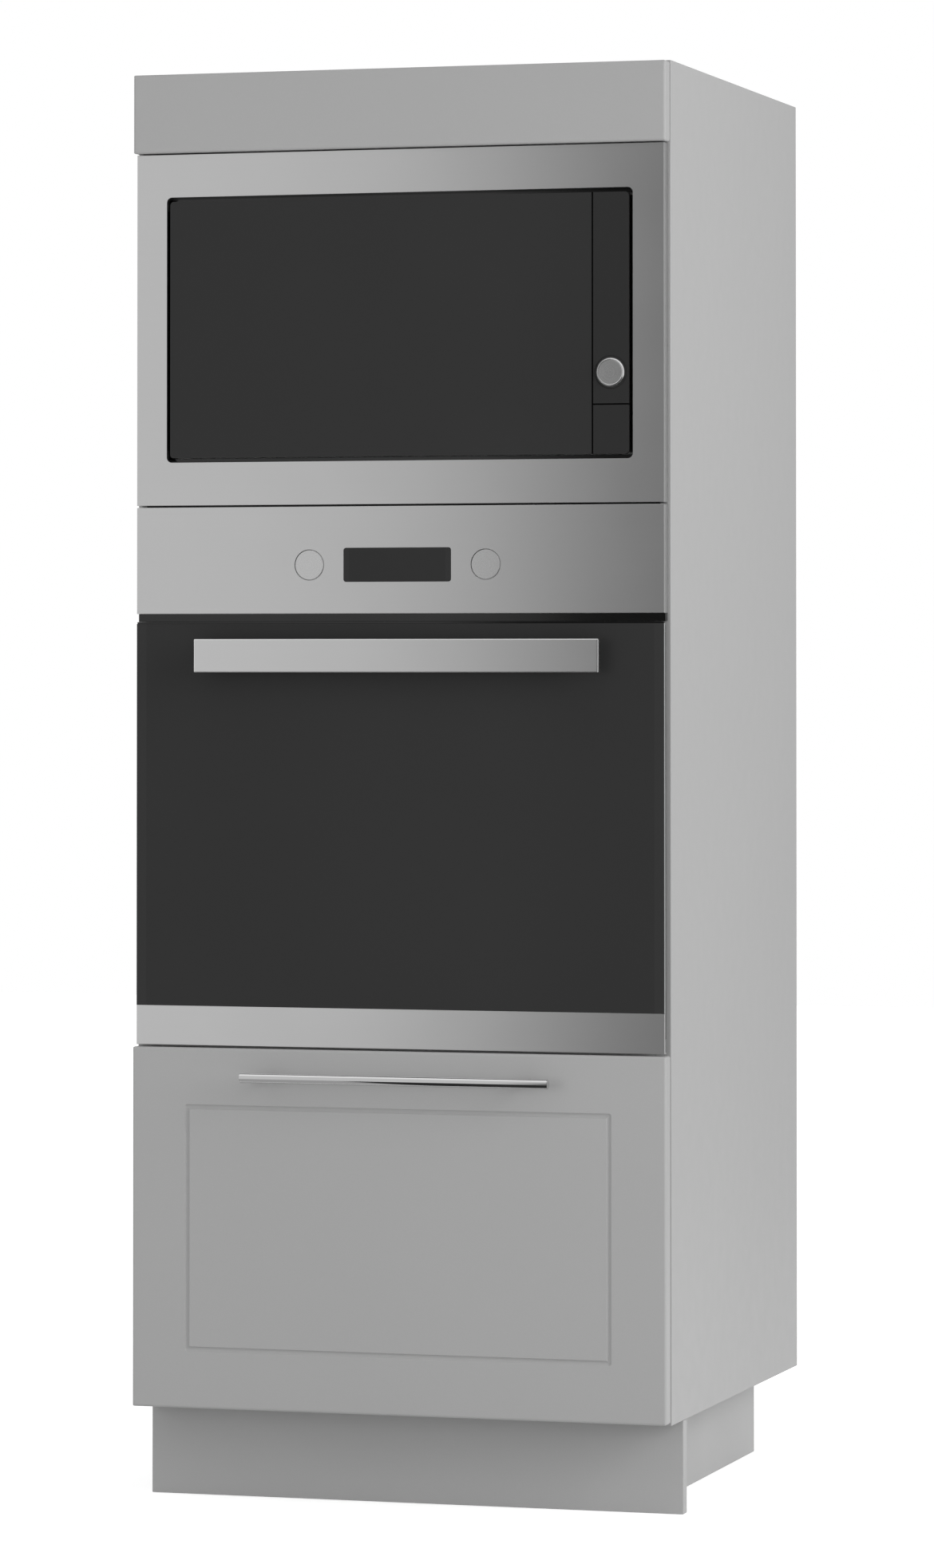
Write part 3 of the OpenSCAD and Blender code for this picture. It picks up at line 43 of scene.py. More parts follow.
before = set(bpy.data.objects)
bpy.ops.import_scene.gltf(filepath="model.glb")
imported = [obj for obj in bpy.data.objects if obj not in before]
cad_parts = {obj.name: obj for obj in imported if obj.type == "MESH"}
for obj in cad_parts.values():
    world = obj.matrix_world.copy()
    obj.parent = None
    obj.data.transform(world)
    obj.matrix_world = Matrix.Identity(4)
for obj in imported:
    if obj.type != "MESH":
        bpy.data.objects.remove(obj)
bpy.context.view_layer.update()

# An edge that turns by more than this stays sharp
SHARP_ANGLE = math.radians(35.0)


# ---- Surfaces ----


def grid_faces(rows, columns, around):
    """Quads of a grid of rows x columns points; where around is true the last column meets the first."""
    i, j = np.meshgrid(np.arange(rows - 1), np.arange(columns if around else columns - 1), indexing="ij")
    a = i * columns + j
    b = i * columns + (j + 1) % columns
    return np.stack([a, b, b + columns, a + columns], -1).reshape(-1, 4)


def make_piece(name, grids, body, finish):
    """One closed mesh from point grids (rows, columns, 3), with its finish, that rides on a body.

    Each grid is a surface of two parameters: along its rows and around its columns. Grids whose
    first and last rows shrink to a point close themselves, because equal points are merged.
    """
    points, faces, start = [], [], 0
    for grid in grids:
        rows, columns = grid.shape[:2]
        points.append(grid.reshape(-1, 3))
        faces.append(grid_faces(rows, columns, True) + start)
        start += rows * columns
    mesh = bpy.data.meshes.new(name)
    mesh.from_pydata(np.concatenate(points).tolist(), [], np.concatenate(faces).tolist())
    shape = bmesh.new()
    shape.from_mesh(mesh)
    bmesh.ops.remove_doubles(shape, verts=shape.verts, dist=1e-6)
    bmesh.ops.dissolve_degenerate(shape, edges=shape.edges, dist=1e-7)
    bmesh.ops.recalc_face_normals(shape, faces=shape.faces)
    shape.to_mesh(mesh)
    shape.free()
    mesh.shade_smooth()
    mesh.set_sharp_from_angle(angle=SHARP_ANGLE)
    piece = bpy.data.objects.new(name, mesh)
    bpy.context.scene.collection.objects.link(piece)
    mesh.materials.append(FINISHES[finish])
    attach(piece, body)
    return piece


def corner_arcs(steps):
    """Angles and corner signs of a ring round a rectangle whose corners are quarter circles."""
    quarter = np.linspace(0, np.pi / 2, steps + 1)
    angle = (quarter[None, :] + np.arange(4)[:, None] * np.pi / 2).ravel()
    sign = np.array([[1, 1], [-1, 1], [-1, -1], [1, -1]]).repeat(steps + 1, axis=0)
    return angle, sign


def rounded_slab(low, high, radius, axis, corner=6, ease=4):
    """A slab with rounded corners across an axis and eased ends along it.

    Points go round a rectangle whose corners are arcs. Near each end the whole ring is inset by
    radius - sqrt(radius^2 - s^2), so the corner centres stay and only the arcs shrink, and the
    last ring closes on the middle.
    """
    low, high = np.array(low, float), np.array(high, float)
    order = [axis] + [k for k in range(3) if k != axis]
    lo, hi = low[order], high[order]
    middle, half = (lo[1:] + hi[1:]) / 2, (hi[1:] - lo[1:]) / 2
    end = min(radius, (hi[0] - lo[0]) / 2)
    turn = np.linspace(0, np.pi / 2, ease + 1)
    inset = np.concatenate([radius * (1 - np.sin(turn)), radius * (1 - np.sin(turn[::-1]))])
    along = np.concatenate([lo[0] + end * (1 - np.cos(turn)), hi[0] - end * (1 - np.cos(turn[::-1]))])
    angle, sign = corner_arcs(corner)
    centre = sign * (half - radius)
    ring = np.stack([np.cos(angle), np.sin(angle)], -1)
    section = middle + centre[None] + (radius - inset)[:, None, None] * ring[None]
    grid = np.empty((len(along) + 2, len(angle), 3))
    grid[..., 0] = np.concatenate([along[:1], along, along[-1:]])[:, None]
    grid[..., 1:] = middle
    grid[1:-1, :, 1:] = section
    return grid[..., np.argsort(order)]


def frames_of(axis):
    """Two unit vectors across an axis, so that the three make a right-handed set."""
    axis = np.array(axis, float) / np.linalg.norm(axis)
    helper = np.array([0.0, 0.0, 1.0]) if abs(axis[2]) < 0.9 else np.array([1.0, 0.0, 0.0])
    across = np.cross(helper, axis)
    across /= np.linalg.norm(across)
    return axis, across, np.cross(axis, across)


def turned(origin, axis, profile, segments=40):
    """A surface of revolution: each (radius, height) of the profile carried round the axis."""
    axis, u, v = frames_of(axis)
    profile = np.array(profile, float)
    angle = np.linspace(0, 2 * np.pi, segments, endpoint=False)
    ring = np.cos(angle)[:, None] * u + np.sin(angle)[:, None] * v
    return np.array(origin) + profile[:, 0, None, None] * ring + profile[:, 1, None, None] * axis


def screw_head(origin, axis, radius, turn, rings=9, segments=40):
    """A pan head with a cross recess, by polar angle and distance from the middle.

    Its height is dome x radius x sqrt(1 - (distance)^4), less the recess: a step of the distance
    to the nearer arm of a cross turned by an angle. All are shares of the radius.
    """
    dome, sink, arm_half, arm_end, slope, end_slope = 0.55, 0.32, 0.2, 0.62, 0.1, 0.12
    axis, u, v = frames_of(axis)
    part = np.linspace(0, 1, rings)[:, None]
    angle = np.linspace(0, 2 * np.pi, segments, endpoint=False)[None, :]
    height = dome * radius * np.sqrt(np.clip(1 - part**4, 0, 1)) * np.ones_like(angle)
    x, y = part * np.cos(angle + turn), part * np.sin(angle + turn)
    arm = np.minimum(np.abs(x), np.abs(y))
    reach = np.maximum(np.abs(x), np.abs(y))
    dip = np.clip((arm_half - arm) / slope, 0, 1) * np.clip((arm_end - reach) / end_slope, 0, 1)
    height = height - sink * radius * dip
    flat = (part * radius * np.cos(angle))[..., None] * u + (part * radius * np.sin(angle))[..., None] * v
    top = np.array(origin) + flat + height[..., None] * axis
    under = np.broadcast_to(np.array(origin, float), (1, segments, 3))
    return np.concatenate([top, under])


def tube(path, radius, segments=14):
    """A round profile carried along a path, its ring set square to the path's direction at each point."""
    path = np.array(path, float)
    step = np.gradient(path, axis=0)
    step /= np.linalg.norm(step, axis=1, keepdims=True)
    side = np.cross(step, [0.0, 0.0, 1.0])
    weak = np.linalg.norm(side, axis=1) < 1e-3
    side[weak] = np.cross(step[weak], [1.0, 0.0, 0.0])
    side /= np.linalg.norm(side, axis=1, keepdims=True)
    up = np.cross(side, step)
    angle = np.linspace(0, 2 * np.pi, segments, endpoint=False)
    ring = np.cos(angle)[None, :, None] * side[:, None] + np.sin(angle)[None, :, None] * up[:, None]
    grid = path[:, None] + radius * ring
    caps = np.repeat(path[[0, -1]][:, None], segments, axis=1)
    return np.concatenate([caps[:1], grid, caps[1:]])


# ---- Shader groups ----


def add(tree, kind, values=None, **settings):
    """One node with its settings; values maps an input's name or number to a value or a socket."""
    node = tree.nodes.new(kind)
    for key, value in settings.items():
        setattr(node, key, value)
    for key, value in (values or {}).items():
        if isinstance(value, bpy.types.NodeSocket):
            tree.links.new(value, node.inputs[key])
        else:
            node.inputs[key].default_value = value
    return node


def maths(tree, operation, a, b=0.0, clamp=False):
    """The result of one Math node."""
    return add(tree, "ShaderNodeMath", {0: a, 1: b}, operation=operation, use_clamp=clamp).outputs[0]


def vectors(tree, operation, a, b=None, out=0):
    """The result of one Vector Math node."""
    values = {0: a} if b is None else {0: a, 1: b}
    return add(tree, "ShaderNodeVectorMath", values, operation=operation).outputs[out]


def spread(tree, value, low, high, first, last, **settings):
    """A value between low and high carried over to one between first and last."""
    values = {"Value": value, "From Min": low, "From Max": high, "To Min": first, "To Max": last}
    return add(tree, "ShaderNodeMapRange", values, **settings).outputs["Result"]


# Noise lies between these nearly everywhere
NOISE_LOW, NOISE_HIGH = 0.3, 0.7
# How far the edges of zinc flowers are bent, in metres
FLOWER_BEND = 0.006
# The cosine between a face and its softened edge at which the edge's mask begins and is full
EDGE_BEGINS, EDGE_FULL = 0.995, 0.85


def variation(tree, given):
    """Noise between low and high, pulled along the axes."""
    pulled = vectors(tree, "MULTIPLY", given["Vector"], given["Stretch"])
    noise = add(tree, "ShaderNodeTexNoise",
                {"Vector": pulled, "Scale": given["Scale"], "Detail": given["Detail"]}).outputs["Fac"]
    return {"Value": spread(tree, noise, NOISE_LOW, NOISE_HIGH, given["Low"], given["High"])}


def spangle(tree, given):
    """Zinc flowers: cells with bent edges, each at its own value between low and high."""
    bend = add(tree, "ShaderNodeTexNoise", {"Vector": given["Vector"], "Scale": given["Scale"]})
    shift = add(tree, "ShaderNodeVectorMath", {0: bend.outputs["Color"], "Scale": FLOWER_BEND},
                operation="SCALE")
    moved = vectors(tree, "ADD", given["Vector"], shift.outputs[0])
    cells = add(tree, "ShaderNodeTexVoronoi", {"Vector": moved, "Scale": given["Scale"]})
    tone = add(tree, "ShaderNodeSeparateColor", {"Color": cells.outputs["Color"]}).outputs[0]
    return {"Value": spread(tree, tone, 0.0, 1.0, given["Low"], given["High"])}


def specks(tree, given):
    """Round specks with soft rims."""
    cells = add(tree, "ShaderNodeTexVoronoi", {"Vector": given["Vector"], "Scale": given["Scale"]})
    core = maths(tree, "MULTIPLY", given["Size"], 0.6)
    return {"Mask": spread(tree, cells.outputs["Distance"], core, given["Size"], 1.0, 0.0)}


def edge(tree, given):
    """Where edges lie, and a normal that rounds them."""
    bevel = add(tree, "ShaderNodeBevel", {"Radius": given["Radius"]}, samples=4).outputs[0]
    plain = add(tree, "ShaderNodeNewGeometry").outputs["Normal"]
    facing = vectors(tree, "DOT_PRODUCT", bevel, plain, "Value")
    return {"Mask": spread(tree, facing, EDGE_BEGINS, EDGE_FULL, 0.0, 1.0), "Normal": bevel}


def rings(tree, given):
    """Rings of noise round a line along y."""
    from_centre = vectors(tree, "SUBTRACT", given["Vector"], given["Centre"])
    away = vectors(tree, "LENGTH", vectors(tree, "MULTIPLY", from_centre, (1, 0, 1)), out="Value")
    noise = add(tree, "ShaderNodeTexNoise",
                {"W": maths(tree, "MULTIPLY", away, given["Scale"]), "Scale": 1.0, "Detail": 1.0},
                noise_dimensions="1D").outputs["Fac"]
    return {"Value": spread(tree, noise, NOISE_LOW, NOISE_HIGH, 0.0, 1.0)}


# What each group is given, and its value where a finish gives none
GIVEN = {
    variation: {"Vector": (0, 0, 0), "Stretch": (1, 1, 1), "Scale": 10.0, "Detail": 2.0, "Low": 0.0,
                "High": 1.0},
    spangle: {"Vector": (0, 0, 0), "Scale": 60.0, "Low": 0.0, "High": 1.0},
    specks: {"Vector": (0, 0, 0), "Scale": 400.0, "Size": 0.25},
    edge: {"Radius": 0.0008},
    rings: {"Vector": (0, 0, 0), "Centre": (0, 0, 0), "Scale": 2500.0},
}


def build_groups():
    """Builds every shared group round the function that fills it."""
    for fill, inputs in GIVEN.items():
        tree = bpy.data.node_groups.new(fill.__name__.capitalize(), "ShaderNodeTree")
        for label, value in inputs.items():
            kind = "NodeSocketVector" if isinstance(value, tuple) else "NodeSocketFloat"
            tree.interface.new_socket(name=label, in_out="INPUT", socket_type=kind).default_value = value
        results = fill(tree, tree.nodes.new("NodeGroupInput").outputs)
        for label, value in results.items():
            kind = "NodeSocketVector" if value.type == "VECTOR" else "NodeSocketFloat"
            tree.interface.new_socket(name=label, in_out="OUTPUT", socket_type=kind)
        out = tree.nodes.new("NodeGroupOutput").inputs
        for label, value in results.items():
            tree.links.new(value, out[label])
        GROUPS[fill.__name__] = tree


# The shared groups by name
GROUPS = {}
# The materials by the short names that pieces ask for
FINISHES = {}


def grouped(tree, name, values):
    """A shared group placed in a material with its own values."""
    return add(tree, "ShaderNodeGroup", values, node_tree=GROUPS[name]).outputs


def shade(colour, share):
    """A colour made darker or lighter by a share."""
    return tuple(share * c for c in colour)


def empty_material(name):
    """A new material with nothing in it but its output: the material, its tree and its surface."""
    material = bpy.data.materials.new(name)
    material.use_nodes = True
    tree = material.node_tree
    tree.nodes.clear()
    return material, tree, add(tree, "ShaderNodeOutputMaterial").inputs["Surface"]


class Finish:
    """A material in the making: a colour, a roughness and a height that layers are added to."""

    def __init__(self, name, colour, roughness, **constants):
        self.material, self.tree, self.surface = empty_material(name)
        values = {key.replace("_", " "): value for key, value in constants.items()}
        self.shader = add(self.tree, "ShaderNodeBsdfPrincipled", values)
        self.tree.links.new(self.shader.outputs[0], self.surface)
        self.where = add(self.tree, "ShaderNodeTexCoord").outputs["Object"]
        self.colour = add(self.tree, "ShaderNodeRGB").outputs[0]
        self.colour.default_value = (*colour, 1.0)
        self.roughness = add(self.tree, "ShaderNodeValue").outputs[0]
        self.roughness.default_value = roughness
        self.height = None
        self.normal = None

    def variation(self, scale, low, high, stretch=(1, 1, 1), detail=2.0):
        """Noise between low and high, at a scale and pulled along the axes."""
        values = {"Vector": self.where, "Scale": scale, "Low": low, "High": high, "Stretch": stretch,
                  "Detail": detail}
        return grouped(self.tree, "variation", values)["Value"]

    def tone(self, value):
        """Multiplies the colour by a value round 1."""
        self.colour = vectors(self.tree, "MULTIPLY", self.colour, value)

    def clouds(self, scale, low, high, **how):
        """Multiplies the colour by noise."""
        self.tone(self.variation(scale, low, high, **how))

    def paint(self, mask, colour):
        """Lays another colour where the mask is 1."""
        mixed = add(self.tree, "ShaderNodeMix", {"Factor": mask, 6: self.colour, 7: (*colour, 1.0)},
                    data_type="RGBA")
        self.colour = mixed.outputs[2]

    def rough(self, value):
        """Adds a value round 0 to the roughness."""
        self.roughness = maths(self.tree, "ADD", self.roughness, value, clamp=True)

    def gloss(self, scale, low, high, **how):
        """Adds noise to the roughness."""
        self.rough(self.variation(scale, low, high, **how))

    def relief(self, value, depth):
        """Adds a height in metres to the surface."""
        scaled = maths(self.tree, "MULTIPLY", value, depth)
        self.height = scaled if self.height is None else maths(self.tree, "ADD", self.height, scaled)

    def grain(self, scale, depth, **how):
        """Adds noise of a depth in metres to the surface."""
        self.relief(self.variation(scale, 0.0, 1.0, **how), depth)

    def edge(self, radius, lift):
        """Softens edges to a radius and lifts the colour there by a share."""
        edge = grouped(self.tree, "edge", {"Radius": radius})
        self.normal = edge["Normal"]
        self.tone(maths(self.tree, "ADD", maths(self.tree, "MULTIPLY", edge["Mask"], lift), 1.0))

    def done(self):
        """Joins the layers to the shader."""
        self.tree.links.new(self.colour, self.shader.inputs["Base Color"])
        self.tree.links.new(self.roughness, self.shader.inputs["Roughness"])
        if self.height is not None:
            bump = add(self.tree, "ShaderNodeBump",
                       {"Height": self.height, "Distance": 1.0, "Strength": 1.0})
            if self.normal is not None:
                self.tree.links.new(self.normal, bump.inputs["Normal"])
            self.normal = bump.outputs[0]
        if self.normal is not None:
            self.tree.links.new(self.normal, self.shader.inputs["Normal"])
        return self.material


# ---- Settings ----


def grey_property(label, text, tone):
    """A colour that a user can change, grey from the start."""
    return FloatVectorProperty(name=label, description=text, default=(tone, tone, tone), size=3, min=0.0,
                               max=1.0, subtype="COLOR")


def length_property(label, text, default):
    """A length in metres that a user can change."""
    return FloatProperty(name=label, description=text, default=default, min=0.0001, max=1.0,
                         subtype="DISTANCE", unit="LENGTH", precision=4)


def strength_property(label, text, default, top=2.0, **kind):
    """A light's strength or a card's tone that a user can change."""
    return FloatProperty(name=label, description=text, default=default, min=0.0, max=top, **kind)


class FinishSettings(bpy.types.PropertyGroup):
    """Colours of the unit's finishes."""

    front: grey_property("Fronts", "Lacquer of the drawer front and the filler", 0.400)
    board: grey_property("Boards", "Melamine of the cabinet's boards", 0.400)
    plinth: grey_property("Plinth", "Lacquer of the plinth", 0.400)
    steel: grey_property("Steel", "Brushed steel of the appliances' fronts", 0.720)
    chrome: grey_property("Chrome", "Polished chrome of the bar handle", 0.720)
    glass: grey_property("Black glass", "Black glass of the doors", 0.0345)
    gloss_black: grey_property("Gloss black", "Recessed black trims", 0.0008)


class FittingSettings(bpy.types.PropertyGroup):
    """Sizes of the small fittings."""

    screw: length_property("Screw head", "Radius of a pan screw's head", 0.0036)
    collar: length_property("Collar", "Width of the collar round an oven knob", 0.0004)
    collar_play: length_property("Collar play", "Play between an oven knob and its collar", 0.00015)
    skirt: length_property("Skirt", "How far the timer knob's black skirt shows round its cap", 0.0018)
    lip: length_property("Door lip", "Height of the lip on the oven door's glass", 0.0020)
    liner: length_property("Liner wall", "Wall of the liner inside the microwave's frame", 0.0005)
    lamp: length_property("Lamp", "Radius of the oven lamp's ring", 0.030)
    probe: length_property("Probe", "Radius of the oven's temperature probe", 0.0022)
    rib: length_property("Rib", "Height of the ribs pressed into the casing's back", 0.0018)
    clip: length_property("Clip", "Length of a clip that holds the door's inner glass", 0.034)
    ribs: IntProperty(name="Ribs", description="Number of ribs pressed into the casing's back", default=4,
                      min=1, max=8)


class StudioSettings(bpy.types.PropertyGroup):
    """Light and camera."""

    world: strength_property("World", "Strength of the even light from all round", 0.62)
    key: strength_property("Key", "Power of the soft light from the right", 77.0, 500.0, unit="POWER")
    fill: strength_property("Fill", "Power of the soft light from the front", 29.0, 500.0, unit="POWER")
    card_light: strength_property("Light card", "Tone of the left part of the card that metal shows", 0.66)
    card_dark: strength_property("Dark card", "Tone of the right part of the card that metal shows", 0.11)
    card_side: strength_property("Side card", "Tone of the card that the steel's right sides show", 0.38)
    foot_light: strength_property("Light foot", "Tone of the left part of the card near the floor", 0.39)
    foot_dark: strength_property("Dark foot", "Tone of the right part of the card near the floor", 0.03)
    floor_lift: strength_property("Floor", "Light that the floor adds where the camera sees it", 0.62)
    lens: FloatProperty(name="Lens", description="Focal length of the camera", default=137.27, min=20.0,
                        max=400.0, unit="CAMERA")


# ---- Finishes ----


def lacquer(name, colour, peel):
    """Satin lacquer: soft clouds in tone and gloss, a fine orange peel, and slightly paler edges."""
    f = Finish(name, colour, 0.46, Specular_IOR_Level=0.3)
    f.clouds(2.5, 0.988, 1.012)
    f.clouds(1400.0, 0.985, 1.015)
    f.gloss(8.0, -0.03, 0.04)
    f.grain(650.0, peel)
    f.edge(0.0012, 0.05)
    return f.done()


def melamine(name, colour):
    """Melamine-faced board: a fine pearl emboss under faint clouds, with paler edging."""
    f = Finish(name, colour, 0.5, Specular_IOR_Level=0.3)
    f.clouds(1.8, 0.988, 1.012)
    f.clouds(1100.0, 0.98, 1.02)
    f.gloss(40.0, -0.03, 0.03)
    f.grain(420.0, 0.00003, detail=3.0)
    f.edge(0.0010, 0.05)
    return f.done()


def hardboard(name, colour):
    """Thin grey board: matted fibres at two scales."""
    f = Finish(name, colour, 0.62, Specular_IOR_Level=0.25)
    f.clouds(160.0, 0.90, 1.08, detail=6.0)
    f.clouds(12.0, 0.97, 1.03)
    f.gloss(90.0, -0.06, 0.06)
    f.grain(500.0, 0.00005, detail=5.0)
    return f.done()


def brushed(name, colour):
    """Satin steel: very fine brushed lines at two scales, with faint hand marks in the gloss."""
    f = Finish(name, colour, 0.31, Metallic=1.0)
    stretch = (3, 40, 2600)
    coarse = shade(stretch, 0.3)
    f.clouds(1.0, 0.996, 1.004, stretch=stretch, detail=3.0)
    f.clouds(1.0, 0.998, 1.002, stretch=coarse, detail=1.0)
    f.gloss(1.0, -0.006, 0.006, stretch=stretch)
    f.gloss(14.0, -0.008, 0.012)
    f.grain(1.0, 0.0000003, stretch=stretch, detail=3.0)
    return f.done()


def turned_steel(name, colour, centre):
    """Steel turned on a lathe: fine rings round the knob's middle."""
    f = Finish(name, colour, 0.26, Metallic=1.0)
    rings = grouped(f.tree, "rings", {"Vector": f.where, "Centre": centre, "Scale": 3200.0})
    f.tone(maths(f.tree, "ADD", maths(f.tree, "MULTIPLY", rings["Value"], 0.05), 0.975))
    f.rough(maths(f.tree, "MULTIPLY", rings["Value"], 0.05))
    f.relief(rings["Value"], 0.0000015)
    f.edge(0.0005, 0.15)
    return f.done()


def polished(name, colour):
    """Polished chrome: a mirror with faint wipe marks."""
    f = Finish(name, colour, 0.05, Metallic=1.0)
    f.clouds(30.0, 0.985, 1.01)
    f.gloss(60.0, -0.015, 0.03, stretch=(0.3, 1, 1), detail=4.0)
    f.grain(25.0, 0.000004)
    return f.done()


def galvanised(name, colour, scale):
    """Hot-dipped sheet: zinc flowers that differ in tone and gloss."""
    f = Finish(name, colour, 0.4, Metallic=0.9)
    flowers = grouped(f.tree, "spangle", {"Vector": f.where, "Scale": scale, "Low": 0.90, "High": 1.08})
    f.tone(flowers["Value"])
    gloss = grouped(f.tree, "spangle", {"Vector": f.where, "Scale": scale, "Low": -0.08, "High": 0.08})
    f.rough(gloss["Value"])
    f.clouds(5.0, 0.96, 1.03)
    f.grain(220.0, 0.00001)
    f.edge(0.0008, 0.08)
    return f.done()


def plated(name, colour):
    """Bright zinc plate: a faint blue and straw bloom over drawn lines."""
    f = Finish(name, colour, 0.3, Metallic=1.0)
    f.paint(f.variation(18.0, 0.0, 0.35), (0.60, 0.57, 0.48))
    f.paint(f.variation(23.0, 0.0, 0.30), (0.46, 0.52, 0.60))
    f.clouds(1.0, 0.96, 1.04, stretch=(30, 6, 900), detail=2.0)
    f.gloss(45.0, -0.04, 0.06)
    f.grain(400.0, 0.000004)
    f.edge(0.0005, 0.12)
    return f.done()


def enamel(name, colour):
    """Vitreous enamel: a dark ground with pale flecks under a wavy gloss."""
    f = Finish(name, colour, 0.22, Specular_IOR_Level=0.5, Coat_Weight=0.5, Coat_Roughness=0.12)
    flecks = grouped(f.tree, "specks", {"Vector": f.where, "Scale": 330.0, "Size": 0.24})
    small = grouped(f.tree, "specks", {"Vector": f.where, "Scale": 820.0, "Size": 0.2})
    f.paint(maths(f.tree, "MULTIPLY", flecks["Mask"], f.variation(60.0, 0.0, 1.0)), (0.34, 0.35, 0.38))
    f.paint(maths(f.tree, "MULTIPLY", small["Mask"], 0.6), (0.20, 0.21, 0.24))
    f.gloss(30.0, -0.05, 0.07)
    f.grain(90.0, 0.00004)
    return f.done()


def coated(name, colour, roughness, grain):
    """Powder coat: a fine pebbled skin that varies in gloss, paler at the edges."""
    f = Finish(name, colour, roughness, Specular_IOR_Level=0.4)
    f.clouds(6.0, 0.97, 1.03)
    f.clouds(1300.0, 0.96, 1.04)
    f.gloss(25.0, -0.04, 0.05)
    f.grain(grain, 0.00004)
    f.edge(0.0007, 0.10)
    return f.done()


def black_glass(name, colour, box, border=0.0, ground=0.0, seam_shades=()):
    """Back-printed glass: an even print, a border a shade lighter, ground side edges, faint wipe marks.

    Painted shade: each seam is an axis, a place on it and a reach, and the glass is painted black nearer to
    the place than that, for the shade in the gap between parts.
    """
    f = Finish(name, colour, 0.10, Specular_IOR_Level=0.05)
    parts = add(f.tree, "ShaderNodeSeparateXYZ", {0: f.where}).outputs
    middle, half = (box[0].x + box[1].x) / 2, (box[1].x - box[0].x) / 2
    away = maths(f.tree, "ABSOLUTE", maths(f.tree, "SUBTRACT", parts["X"], middle))
    f.clouds(5.0, 0.98, 1.02)
    if border:
        f.paint(maths(f.tree, "MULTIPLY", maths(f.tree, "GREATER_THAN", away, half - border), 0.5),
                shade(colour, 1.22))
    if ground:
        f.paint(maths(f.tree, "GREATER_THAN", away, half - ground), (0.30, 0.31, 0.31))
    # painted shade: black along each seam, where the gap between parts is in shade
    for axis, place, reach in seam_shades:
        near = maths(f.tree, "ABSOLUTE", maths(f.tree, "SUBTRACT", parts[axis], place))
        f.paint(maths(f.tree, "LESS_THAN", near, reach), (0.002, 0.002, 0.002))
    f.gloss(7.0, -0.03, 0.05, detail=5.0)
    f.grain(4.0, 0.00002)
    return f.done()


def gloss_plastic(name, colour):
    """Glossy black moulding: faint flow marks and dust in the gloss."""
    f = Finish(name, colour, 0.14, Specular_IOR_Level=0.66)
    f.clouds(9.0, 0.9, 1.1)
    f.gloss(50.0, -0.05, 0.06, stretch=(0.2, 1, 1))
    f.grain(300.0, 0.000004)
    return f.done()


def matt_plastic(name, colour):
    """Matt moulded plastic: a fine spark-eroded grain, with the colour lifted at the edges."""
    f = Finish(name, colour, 0.55, Specular_IOR_Level=0.4)
    grain = grouped(f.tree, "specks", {"Vector": f.where, "Scale": 1500.0, "Size": 0.5})
    f.clouds(9.0, 0.94, 1.07)
    f.gloss(40.0, -0.06, 0.06)
    f.relief(grain["Mask"], 0.00003)
    f.grain(700.0, 0.00002)
    f.edge(0.0006, 0.35)
    return f.done()


def clear_glass(name, colour):
    """Clear glass: a faint tint with wipe marks in its gloss."""
    f = Finish(name, colour, 0.03, Transmission_Weight=1.0, IOR=1.5)
    f.clouds(4.0, 0.985, 1.0)
    f.gloss(11.0, -0.01, 0.05, detail=5.0)
    f.grain(5.0, 0.00001)
    return f.done()


def heated_sheath(name, colour):
    """Heater sheath: dark oxide with straw and blue heat tints."""
    f = Finish(name, colour, 0.5, Metallic=0.7)
    f.paint(f.variation(9.0, 0.0, 0.7), (0.13, 0.10, 0.07))
    f.paint(f.variation(13.0, 0.0, 0.5), (0.07, 0.08, 0.12))
    f.gloss(70.0, -0.08, 0.1)
    f.grain(500.0, 0.00004)
    return f.done()


def rubber(name, colour):
    """Silicone rubber: matt, with a bloom and fine mould lines."""
    f = Finish(name, colour, 0.65, Specular_IOR_Level=0.35)
    f.clouds(60.0, 0.85, 1.2)
    f.gloss(30.0, -0.08, 0.08)
    f.grain(1.0, 0.00004, stretch=(12, 900, 900))
    return f.done()


def mica(name, colour):
    """Mica sheet: pale flakes of differing tone with a silky gloss."""
    f = Finish(name, colour, 0.4, Specular_IOR_Level=0.5)
    flakes = grouped(f.tree, "spangle", {"Vector": f.where, "Scale": 220.0, "Low": 0.82, "High": 1.1})
    f.tone(flakes["Value"])
    f.gloss(120.0, -0.12, 0.1)
    f.relief(flakes["Value"], 0.00005)
    return f.done()


def perforated(name, colour, pitch):
    """Perforated sheet: round holes in offset rows, as cosines of x and z on a lattice, with painted shade in
    the holes.
    """
    f = Finish(name, colour, 0.45, Metallic=0.6)
    parts = add(f.tree, "ShaderNodeSeparateXYZ", {0: f.where}).outputs
    turn = 2 * math.pi / pitch
    across = maths(f.tree, "COSINE", maths(f.tree, "MULTIPLY", parts["X"], turn))
    up = maths(f.tree, "COSINE", maths(f.tree, "MULTIPLY", parts["Z"], turn))
    hole = maths(f.tree, "GREATER_THAN", maths(f.tree, "MULTIPLY", across, up), 0.25)
    f.clouds(8.0, 0.95, 1.05)
    # painted shade: the holes are painted nearly black for the dark seen through them
    f.paint(hole, (0.006, 0.006, 0.006))
    f.rough(maths(f.tree, "MULTIPLY", hole, 0.4))
    f.relief(hole, -0.0003)
    return f.done()


def knob_centre(node):
    """The middle of a knob, from its box."""
    low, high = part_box(node)
    return tuple((low + high) / 2)


